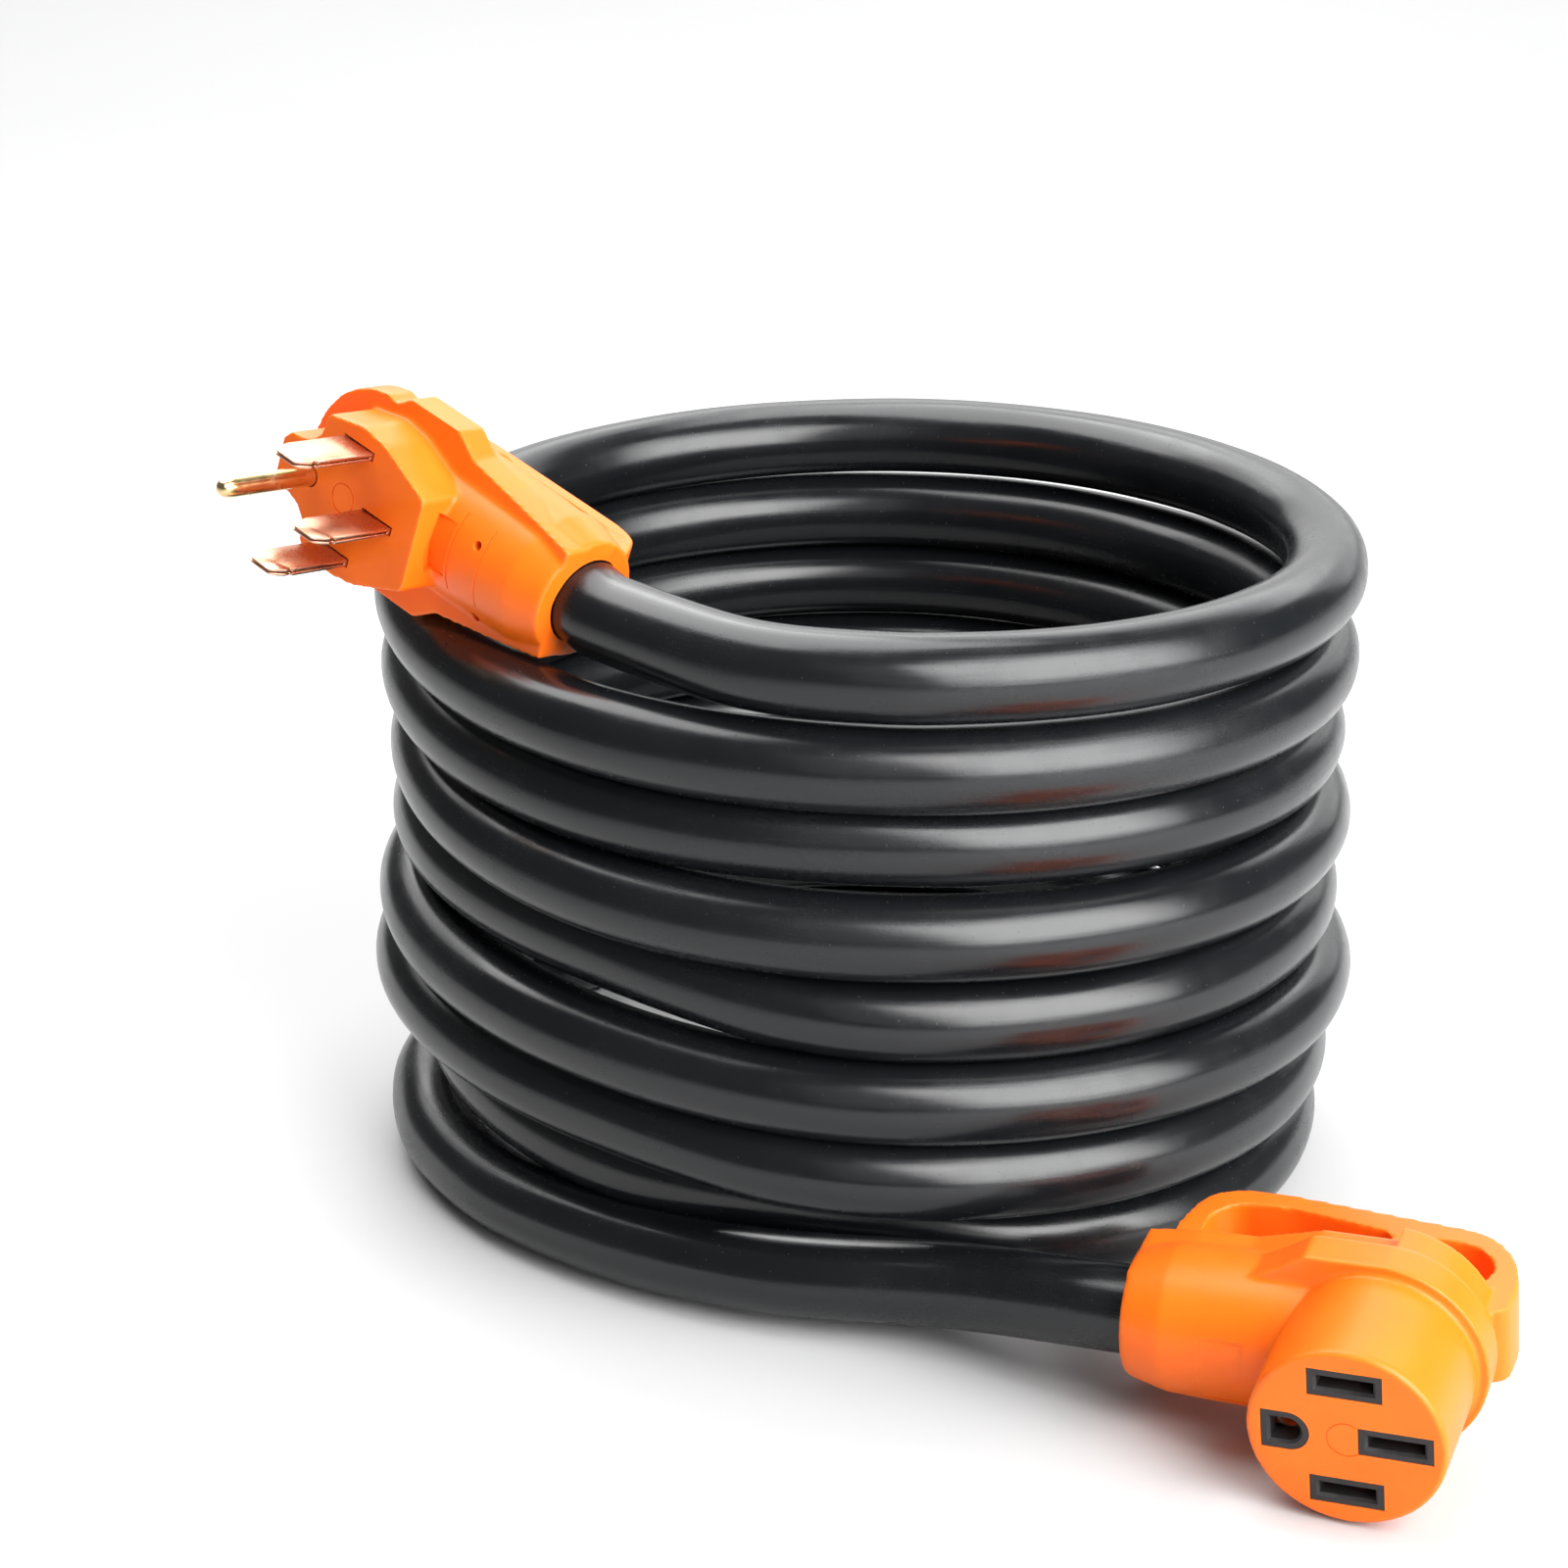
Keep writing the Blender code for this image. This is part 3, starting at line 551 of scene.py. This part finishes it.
def build_cord(material):
    route = smooth_route(cord_knots(), ROUTE_STEP)[::-1]
    points, faces, along, around = [], [], [], []
    side = Vector((0.0, 0.0, 1.0))
    travelled = 0.0
    for i, place in enumerate(route):
        ahead = (route[min(i + 1, len(route) - 1)] - route[max(i - 1, 0)]).normalized()
        side = (side - side.dot(ahead) * ahead).normalized()
        up = ahead.cross(side)
        travelled += (place - route[max(i - 1, 0)]).length
        for k in range(CORD_SIDES):
            angle = 2 * math.pi * k / CORD_SIDES
            # The four wires inside are laid in a long twist, which just shows in the jacket.
            twist = TWIST_HEIGHT * math.cos(4 * (angle - travelled * 2 * math.pi / TWIST_PITCH))
            round_it = Vector((math.cos(angle), math.sin(angle), 0.0)) * 0.5
            dent = DENT_HEIGHT * noise.noise(place * DENTS_PER_METRE + round_it)
            radius = CORD_RADIUS - TWIST_HEIGHT + twist + dent
            points.append(place + radius * (math.cos(angle) * side + math.sin(angle) * up))
        along.append(travelled)
    for i in range(len(route) - 1):
        for k in range(CORD_SIDES):
            j = (k + 1) % CORD_SIDES
            low, high = i * CORD_SIDES, (i + 1) * CORD_SIDES
            faces.append((low + k, low + j, high + j, high + k))
            around.append(((along[i], k), (along[i], k + 1), (along[i + 1], k + 1), (along[i + 1], k)))
    faces += [tuple(range(CORD_SIDES))[::-1], tuple(range(len(points) - CORD_SIDES, len(points)))]
    around += [[(0.0, k) for k in range(CORD_SIDES)], [(along[-1], k) for k in range(CORD_SIDES)]]
    mesh = bpy.data.meshes.new("cord")
    mesh.from_pydata(points, [], faces)
    layer = mesh.uv_layers.new(name="along")
    width = 2 * math.pi * CORD_RADIUS / CORD_SIDES
    flat = [pair for face in around for pair in face]
    for item, (u, k) in zip(layer.data, flat):
        item.uv = (u, k * width)
    obj = new_object("cord", mesh)
    finished(obj, Matrix.Identity(4), material, "black_jacket", "cord_coil", "cord_plug_lead",
             "cord_connector_lead", degrees=60.0)
    return obj, route


# Shapes both heads share

ARC_STEPS = 48
SLOT_STEPS = 24


def poles(ground_side):
    return {
        "x": (0.0, POLE_SPACING / 2),
        "y": (0.0, -POLE_SPACING / 2),
        "neutral": (-ground_side * NEUTRAL_OFFSET, 0.0),
        "ground": (ground_side * GROUND_OFFSET, 0.0),
    }


def rectangle(width, height):
    return [(-width / 2, -height / 2), (width / 2, -height / 2),
            (width / 2, height / 2), (-width / 2, height / 2)]


def rounded_slot(half_width, half_height):
    outline = [(half_width, -half_height), (half_width, half_height)]
    for i in range(SLOT_STEPS + 1):
        angle = math.pi / 2 + math.pi * i / SLOT_STEPS
        outline.append((
            -half_width + half_height + half_height * math.cos(angle),
            half_height * math.sin(angle),
        ))
    return outline


def shifted(outline, x, y):
    return [(a + x, b + y) for a, b in outline]


def barrel(name, axis_depth):
    profile = ((22.5, 8.0), (22.5, 30.0), (22.2, 45.0), (21.6, 60.0), (19.0, 70.5), (18.4, 72.0))
    return turned(name, [(r * MM, x * MM) for r, x in profile], (0.0, axis_depth), "x", 96)


def plate_outline(centre, radius, tail):
    """An arc round the head that ends in a tail along the cord, given by its upper half."""
    arc = []
    for i in range(1, ARC_STEPS):
        angle = math.pi * (0.5 + i / ARC_STEPS)
        arc.append((centre + radius * math.cos(angle), radius * math.sin(angle)))
    shape = tail + arc + [(x, -y) for x, y in tail[::-1]]
    return [(x * MM, y * MM) for x, y in shape]


def rounded(outline, radius, steps=5):
    """The outline with its corners rounded."""
    made = []
    size = len(outline)
    for i in range(size):
        before, here, after = (Vector(outline[(i + k) % size]) for k in (-1, 0, 1))
        back, on = before - here, after - here
        reach = min(radius, back.length * 0.45, on.length * 0.45)
        start, end = here + back.normalized() * reach, here + on.normalized() * reach
        for k in range(steps + 1):
            t = k / steps
            point = (1 - t) ** 2 * start + 2 * t * (1 - t) * here + t ** 2 * end
            made.append(tuple(point))
    return made


OPENING_CORNER = 5
# Finger loops, in mm along and behind the cord: the outer edge, the long opening and the short one.
CONN_GRIP = (
    ((-33, -6), (-34, -21), (-29.5, -36), (-20, -45), (40, -51.5), (56, -51), (64, -45), (68, -31),
     (68, -10)),
    ((6, -20), (6, -39), (36, -44.5), (54, -43.5), (60, -36), (60, -24), (56, -24), (50, -23)),
    ((-24, -20), (-25.5, -30), (-19, -37.5), (-10, -39), (-2, -38), (-2, -20)),
)
PLUG_GRIP = (
    ((-31, -6), (-31, -18), (-25, -29), (-12, -35.2), (50, -35.2), (57.5, -33), (64, -24), (70, -8)),
    ((4, -18), (4, -30.4), (46, -30.4), (53, -27), (54, -20), (50, -18)),
    ((-22, -18), (-21.5, -25), (-13, -30.4), (-3, -30.4), (-3, -18)),
)


def loop_shapes(loop, axis_depth, corner):
    """The loop's outlines with their corners rounded: the outer edge, then the openings."""
    return [rounded([(x * MM, depth * MM + axis_depth) for x, depth in shape], size * MM)
            for shape, size in zip(loop, (corner, OPENING_CORNER, OPENING_CORNER))]


def funnel(axis_depth):
    rings = []
    for x, across, deep in ((0, 21.6, 12.5), (12, 20.5, 12.5), (26, 13.0, 11.0), (44, 11.0, 11.0)):
        rings.append([(x * MM, across * MM * math.cos(math.pi * i / 12),
                       axis_depth + deep * MM * math.sin(math.pi * i / 12)) for i in range(24)])
    return stacked("funnel", rings)


def bore(axis_depth):
    return turned("bore", [(CORD_RADIUS + GAP, CORD_END - 6 * MM),
                           (CORD_RADIUS + GAP, BARREL_LENGTH + 10 * MM)], (0.0, axis_depth), "x", 96)


def barrel_cut(x, radius, axis_depth, width, depth, low, high, steps):
    """A shallow groove or panel in the barrel, from low to high degrees round it."""
    rings = []
    for i in range(steps + 1):
        angle = math.radians(low + (high - low) * i / steps)
        ring = []
        for r, along in ((radius - depth, x), (radius + 3 * MM, x), (radius + 3 * MM, x + width),
                         (radius - depth, x + width)):
            ring.append((along, r * math.cos(angle), axis_depth + r * math.sin(angle)))
        rings.append(ring)
    return stacked("barrel_cut", rings)


def ring_mark(name, centre, inner, outer, depth, steps=40):
    """A shallow round groove in a face."""
    points, faces = [], []
    for i in range(steps):
        angle = 2 * math.pi * i / steps
        for r, z in ((inner, -depth), (outer, -depth), (outer, 1 * MM), (inner, 1 * MM)):
            points.append((centre[0] + r * math.cos(angle), centre[1] + r * math.sin(angle), z))
    for row in range(steps):
        for i in range(4):
            j = (i + 1) % 4
            here, there = row * 4, (row + 1) % steps * 4
            faces.append((here + i, there + i, there + j, here + j))
    return mesh_object(name, points, faces)


# Plug

def plug_face_outline():
    half = [(30, 15), (10, 23), (0, 24.5), (-15, 21.5), (-16, 14.5), (-19, 11), (-24, 9.5),
            (-28.5, 9), (-31, 6)]
    half = [(x * MM, y * MM) for x, y in half]
    return [(x, -y) for x, y in half] + half[::-1]


def pocket_outline():
    half = [(21, 10), (9, 19.8), (4, 21.9), (-4, 21.9), (-9, 19.6), (-11, 15), (-21.2, 6)]
    half = [(x * MM, y * MM) for x, y in half]
    return half + [(x, -y) for x, y in half[::-1]]


# The plug's plates, in mm along and across the cord: the one with the ears, the narrower tail behind
# it, and the head's back where it meets them and where it ends.
PLUG_EARS = [(72.5, 17.5), (58, 20.4), (28.5, 25.6), (20.5, 31.0), (-1.0, 31.0), (-6.5, 27.0)]
PLUG_TAIL = ((72.5, 15.5), (72.5, -15.5), (40, -15.0), (10, -18), (10, 18), (40, 15.0))
PLUG_BACK_WIDE = [(30, 12), (22, 18), (12, 21), (-4, 22.8)]
PLUG_BACK_NARROW = [(24, 8), (18, 12), (10, 14.5), (-4, 15.5)]
# What is cut off the barrel beside the finger loop, in mm across and behind the cord.
PLUG_SHOULDER = ((7, -18.0), (14.6, -6.5), (30, -6.5), (30, -30.4), (7, -30.4))


def build_plug_body(material):
    body = prism("plug_body", rounded(plug_face_outline(), 1.2 * MM, 3), -22 * MM, 0.0)
    outer, *openings = loop_shapes(PLUG_GRIP, PLUG_AXIS, 6)
    tail = [(x * MM, y * MM) for x, y in PLUG_TAIL]
    wide = plate_outline(-4.0, 24.8, PLUG_BACK_WIDE)
    narrow = plate_outline(-4.0, 17.0, PLUG_BACK_NARROW)
    solids = [
        prism("ears", plate_outline(-8.6, 28.0, PLUG_EARS), -28 * MM, -18 * MM),
        prism("tail", tail, -37.5 * MM, -26 * MM),
        prism("rear", wide, -37 * MM, -26 * MM),
        stacked("back", [[(x, y, z) for x, y in outline]
                         for outline, z in ((narrow, -48 * MM), (wide, -36.5 * MM))]),
        barrel("barrel", PLUG_AXIS),
        prism("grip", outer, -PLUG_GRIP_HALF, PLUG_GRIP_HALF, "y"),
    ]
    combine(body, solids, "UNION")
    hollows = [prism(f"opening_{i}", outline, -40 * MM, 40 * MM, "y")
               for i, outline in enumerate(openings)]
    for side in (-1, 1):
        section = [(side * y * MM, depth * MM + PLUG_AXIS) for y, depth in PLUG_SHOULDER]
        hollows.append(prism(f"shoulder_{side}", section, 20 * MM, 57 * MM, "x"))
    hollows += [prism("pocket", pocket_outline(), -36 * MM, -PLUG_WALL),
                prism("pocket_back", rectangle(39 * MM, 24 * MM), PLUG_AXIS + POCKET_BACK, -35 * MM),
                funnel(PLUG_AXIS)]
    combine(body, hollows, "DIFFERENCE")
    softened(body)
    settle(body)
    cuts = [bore(PLUG_AXIS)]
    cuts.append(barrel_cut(36.4 * MM, 22.3 * MM, PLUG_AXIS, 0.6 * MM, 0.16 * MM, 54, 122, 40))
    cuts.append(barrel_cut(48.4 * MM, 22.0 * MM, PLUG_AXIS, 0.6 * MM, 0.16 * MM, 54, 122, 40))
    cuts.append(barrel_cut(28.2 * MM, 22.4 * MM, PLUG_AXIS, 7.2 * MM, 0.35 * MM, 66, 112, 24))
    for i, y in enumerate((7.0, -17.5)):
        cuts.append(turned(f"dimple_{i}", [(1.5 * MM, -22 * MM), (1.5 * MM, -6 * MM)],
                           (45.5 * MM, y * MM), "z", 24))
    cuts.append(ring_mark("mark", (-1.5 * MM, 0.0), 4.3 * MM, 4.8 * MM, 0.35 * MM))
    for key, (x, y) in poles(-1).items():
        if key == "ground":
            cuts.append(turned("hole", [(PIN_RADIUS + GAP, -10 * MM), (PIN_RADIUS + GAP, 5 * MM)], (x, y),
                               "z", 32))
        else:
            outline = shifted(rectangle(BLADE_WIDTH + 2 * GAP, BLADE_THICK + 2 * GAP), x, y)
            cuts.append(prism("hole", outline, -10 * MM, 5 * MM))
    combine(body, cuts, "DIFFERENCE")
    settle(body)
    return finished(body, PLUG_PLACE, material, "orange_pvc", "plug_overmould", degrees=52.0)


def add_crimp(obj, pole):
    """The sleeve behind a blade or the pin that holds its wire's strands."""
    inner = STRAND_RADIUS + GAP
    outer = inner + CRIMP_WALL
    shell = turned("crimp", [(outer, PLUG_CRIMP - 7 * MM), (outer, PLUG_CRIMP)], pole, "z", 32)
    hole = turned("crimp_hole", [(inner, PLUG_CRIMP - 8 * MM), (inner, PLUG_CRIMP - 1.5 * MM)], pole,
                  "z", 32)
    combine(obj, [shell], "UNION")
    combine(obj, [hole], "DIFFERENCE")
    settle(obj)


def build_blade(key, pole, material):
    """Folded sheet: two leaves joined along one long edge, narrowed at the tip, with a crimp behind."""
    x, y = pole
    half = BLADE_WIDTH / 2
    tip = BLADE_LENGTH
    low = PLUG_CRIMP - 1.0 * MM
    shoulder = PLUG_CRIMP + 0.4 * MM
    neck = STRAND_RADIUS + 1.2 * MM
    outline = [(-neck, low), (neck, low), (neck, shoulder), (half, shoulder), (half, tip - 7.2 * MM),
               (half - 0.7 * MM, tip - 6.9 * MM), (half - 0.7 * MM, tip - 5.6 * MM),
               (half - 0.3 * MM, tip - 5.2 * MM), (half - 2.0 * MM, tip - 0.8 * MM),
               (half - 2.8 * MM, tip), (-half + 2.6 * MM, tip), (-half + 1.6 * MM, tip - 0.8 * MM),
               (-half, tip - 6 * MM), (-half, shoulder), (-neck, shoulder)]
    outline = [(a + x, depth) for a, depth in outline]
    blade = prism("plug_blade_sheet_" + key, outline, y - BLADE_THICK / 2, y + BLADE_THICK / 2, "y")
    seam = block("seam", (x - half + 1.5 * MM, y - 0.24 * MM, 1.0 * MM),
                 (x + half + 1 * MM, y + 0.24 * MM, tip + 1 * MM))
    # The leaves thin towards the tip.
    wedges = []
    for side in (-1, 1):
        section = [(y + side * BLADE_THICK * 0.50, tip - 2.4 * MM), (y + side * 0.78 * MM, tip + 0.02 * MM),
                   (y + side * 3 * MM, tip + 0.02 * MM), (y + side * 3 * MM, tip - 2.4 * MM)]
        wedges.append(prism("wedge", section, x - 8 * MM, x + 8 * MM, "x"))
    combine(blade, [seam, *wedges], "DIFFERENCE")
    settle(blade)
    bevelled(blade, 0.22 * MM, 2)
    settle(blade)
    add_crimp(blade, pole)
    return finished(blade, PLUG_PLACE, material, "copper", "plug_blade_" + key, degrees=32.0)


def build_ground_pin(material):
    pole = poles(-1)["ground"]
    r = PIN_RADIUS
    top = PIN_LENGTH
    profile = [(r, PLUG_CRIMP - 0.5 * MM), (r, 0.5 * MM), (r, top - 5.0 * MM), (r * 0.97, top - 3.6 * MM)]
    profile += [(r * share, top - down * MM) for share, down in (
        (0.90, 2.3), (0.80, 1.4), (0.66, 0.75), (0.48, 0.3), (0.26, 0.07), (0.04, 0.0))]
    pin = turned("plug_ground_pin_turned", profile, pole, "z", 48)
    # Four pressed flats at the end.
    flats = []
    for i in range(4):
        angle = math.pi * (0.25 + i / 2)
        flat = block(f"flat_{i}", (2.15 * MM, -4 * MM, -3.4 * MM), (8 * MM, 4 * MM, 3 * MM))
        flat.data.transform(Matrix.Translation((*pole, top - 1.4 * MM)) @ Matrix.Rotation(angle, 4, "Z")
                            @ Matrix.Rotation(math.radians(-24.0), 4, "Y"))
        flats.append(flat)
    combine(pin, flats, "DIFFERENCE")
    settle(pin)
    add_crimp(pin, pole)
    return finished(pin, PLUG_PLACE, material, "brass", "plug_ground_pin", degrees=24.0)


# Connector

def collar_outline(key, grow):
    if key == "ground":
        return rounded_slot(4.2 * MM + grow, 3.6 * MM + grow)
    return rectangle(BLADE_WIDTH + 2.6 * MM + 2 * grow, BLADE_THICK + 1.2 * MM + 2 * grow)


def connector_tail(ear):
    """A plate's upper half along the cord, in mm, from the cord's end to the top of its ear."""
    return [(72.5, 17.5), (57, 19.5), (40, 19.8), (28.5, ear * 0.5 + 10.3), (20.5, ear), (-3.0, ear)]


def build_connector_body(material):
    r = CONN_FACE_RADIUS
    profile = [(r + 1.3 * MM, -44 * MM), (r + 1.3 * MM, -39.4 * MM), (r + 0.4 * MM, -39.0 * MM),
               (r + 0.4 * MM, -1.0 * MM), (r - 0.4 * MM, 0.0)]
    body = turned("connector_body", profile, (0.0, 0.0), "z", 128)
    outer, *openings = loop_shapes(CONN_GRIP, CONN_AXIS, 9)
    solids = [
        barrel("barrel", CONN_AXIS),
        prism("ears", plate_outline(0.0, 31.0, connector_tail(31.0)), -50 * MM, -38 * MM),
        prism("rear", plate_outline(0.0, 29.5, connector_tail(25.0)), -62 * MM, -40 * MM),
        prism("grip", outer, -GRIP_HALF, GRIP_HALF, "y"),
    ]
    combine(body, solids, "UNION")
    hollows = [prism(f"opening_{i}", outline, -40 * MM, 40 * MM, "y")
               for i, outline in enumerate(openings)]
    hollows += [turned("pocket", [(24.0 * MM, CONN_AXIS + POCKET_BACK), (24.0 * MM, -CONN_WALL)],
                       (0.0, 0.0), "z", 64), funnel(CONN_AXIS)]
    combine(body, hollows, "DIFFERENCE")
    softened(body)
    settle(body)
    cuts = [bore(CONN_AXIS)]
    cuts.append(barrel_cut(35.0 * MM, 22.4 * MM, CONN_AXIS, 13.0 * MM, 0.4 * MM, 52, 112, 24))
    cuts.append(ring_mark("mark", (0.0, 0.0), 5.0 * MM, 5.5 * MM, 0.3 * MM))
    for key, (x, y) in poles(1).items():
        outline = shifted(collar_outline(key, COLLAR_WALL + GAP * 0.5), x, y)
        cuts.append(prism("face_hole_" + key, outline, -10 * MM, 5 * MM))
    combine(body, cuts, "DIFFERENCE")
    settle(body)
    return finished(body, CONN_PLACE, material, "orange_pvc", "connector_overmould", degrees=52.0)


def build_carrier(material):
    """Dark insulator with a collar round each slot, flush with the face."""
    high = -CONN_WALL - GAP
    carrier = turned("connector_slot_block", [(23.6 * MM, -17 * MM), (23.6 * MM, high)], (0.0, 0.0), "z", 64)
    collars, slots, rooms = [], [], []
    for key, (x, y) in poles(1).items():
        outline = shifted(collar_outline(key, COLLAR_WALL), x, y)
        collars.append(prism("collar_" + key, outline, high - 2 * MM, -0.1 * MM))
        inner, outer = (shifted(collar_outline(key, grow * MM), x, y) for grow in (0.0, 0.9))
        slots.append(stacked("slot_" + key, [
            [(a, b, z) for a, b in outline] for outline, z in
            ((inner, -20 * MM), (inner, -0.9 * MM), (outer, 0.05 * MM))]))
        room = rectangle(BLADE_WIDTH + 3.4 * MM, 7.2 * MM) if key != "ground" else rectangle(
            11.0 * MM, 11.0 * MM)
        rooms.append(prism("room_" + key, shifted(room, x, y), -20 * MM, -6.5 * MM))
    combine(carrier, collars, "UNION")
    combine(carrier, slots, "DIFFERENCE")
    combine(carrier, rooms, "DIFFERENCE")
    settle(carrier)
    bevelled(carrier, 0.15 * MM, 1, 60.0)
    settle(carrier)
    return finished(carrier, CONN_PLACE, material, "grey_insulator", "connector_carrier", degrees=32.0)


# CAD nodes that keep their shape

def dress_nodes(copper, insulator):
    strands = strand_material()
    insulation = {
        "x": insulation_material("red_insulation", (0.42, 0.018, 0.016), (0.60, 0.035, 0.030)),
        "y": insulation_material("black_insulation", (0.014, 0.014, 0.015), (0.030, 0.030, 0.032)),
        "neutral": insulation_material("white_insulation", (0.68, 0.68, 0.65), (0.84, 0.84, 0.81)),
        "ground": insulation_material("green_insulation", (0.018, 0.24, 0.060), (0.035, 0.36, 0.10)),
    }
    for name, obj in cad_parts.items():
        if obj.hide_render:
            continue
        key = name.split("_")[-1]
        if "_strands_" in name:
            wanted = strands
        elif "_wire_" in name:
            wanted = insulation[key]
        elif "_contact_" in name:
            wanted = copper
        else:
            wanted = insulator
        for slot in obj.material_slots:
            slot.material = wanted
        if not obj.material_slots:
            obj.data.materials.append(wanted)


# Stage and light

FLOOR_RADIUS = 6.0
FLOOR_THICK = 0.02


def build_stage():
    floor = turned("floor", [(FLOOR_RADIUS, -FLOOR_THICK), (FLOOR_RADIUS, 0.0)], sides=96)
    n = Nodes("pale_floor")
    clouds = n.noise(1.2, 3.0, 0.5)
    n.set("Base Color", n.colours(clouds, (0.3, (0.51, 0.51, 0.513)), (0.7, (0.53, 0.53, 0.533))))
    n.constant(Roughness=0.6, Specular_IOR_Level=0.2)
    floor.data.materials.append(n.material)


def area_light(name, azimuth, elevation, distance, size, radiance):
    """Rectangular softbox aimed at the coil; azimuth 0 is towards the camera and 90 to the right."""
    across, up = math.radians(azimuth), math.radians(elevation)
    away = Vector((math.cos(up) * math.sin(across), -math.cos(up) * math.cos(across), math.sin(up)))
    data = bpy.data.lights.new(name, "AREA")
    data.shape = "RECTANGLE"
    data.size, data.size_y = size
    data.energy = radiance * math.pi * size[0] * size[1]
    light = bpy.data.objects.new(name, data)
    bpy.context.scene.collection.objects.link(light)
    light.location = Vector(LIT_POINT) + distance * away
    light.rotation_euler = (-away).to_track_quat("-Z", "Y").to_euler()
    light.visible_camera = False
    return light


def build_lights():
    world = bpy.data.worlds.new("studio")
    bpy.context.scene.world = world
    world.use_nodes = True
    background = world.node_tree.nodes["Background"]
    background.inputs["Color"].default_value = (1.0, 1.0, 1.0, 1.0)
    background.inputs["Strength"].default_value = 0.12
    area_light("right_softbox", 48.0, 31.0, 1.5, (1.65, 1.65), 6.4)
    area_light("right_softbox_core", 47.0, 31.0, 1.45, (1.1, 1.1), 4.2)
    area_light("top_softbox", -143.0, 66.0, 1.4, (1.3, 1.3), 6.0)
    area_light("back_panel", 168.0, 20.0, 4.6, (6.2, 3.1), 1.3)
    area_light("front_fill", 0.0, 28.0, 2.2, (1.0, 1.8), 0.5)
    wash = area_light("back_wash", 180.0, 33.0, 2.9, (4.6, 2.4), 2.3)
    wash.rotation_euler = (0.0, 0.0, 0.0)  # straight down, on the floor behind the coil


# Whole object

def main():
    bpy.context.scene.view_settings.view_transform = "Standard"
    build_camera()
    jacket = jacket_material()
    orange = orange_material()
    copper = copper_material()
    insulator = insulator_material()
    cord, route = build_cord(jacket)
    build_plug_body(orange)
    places = poles(-1)
    blades = [build_blade(key, places[key], copper) for key in ("x", "y", "neutral")]
    pin = build_ground_pin(brass_material())
    build_connector_body(orange)
    build_carrier(insulator)
    dress_nodes(copper, insulator)
    plug = [bpy.data.objects["plug_body"], *blades, pin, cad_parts["plug_core"]]
    plug += [obj for name, obj in sorted(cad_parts.items())
             if name.startswith(("plug_strands", "plug_wire"))]
    build_stage()
    build_lights()


main()
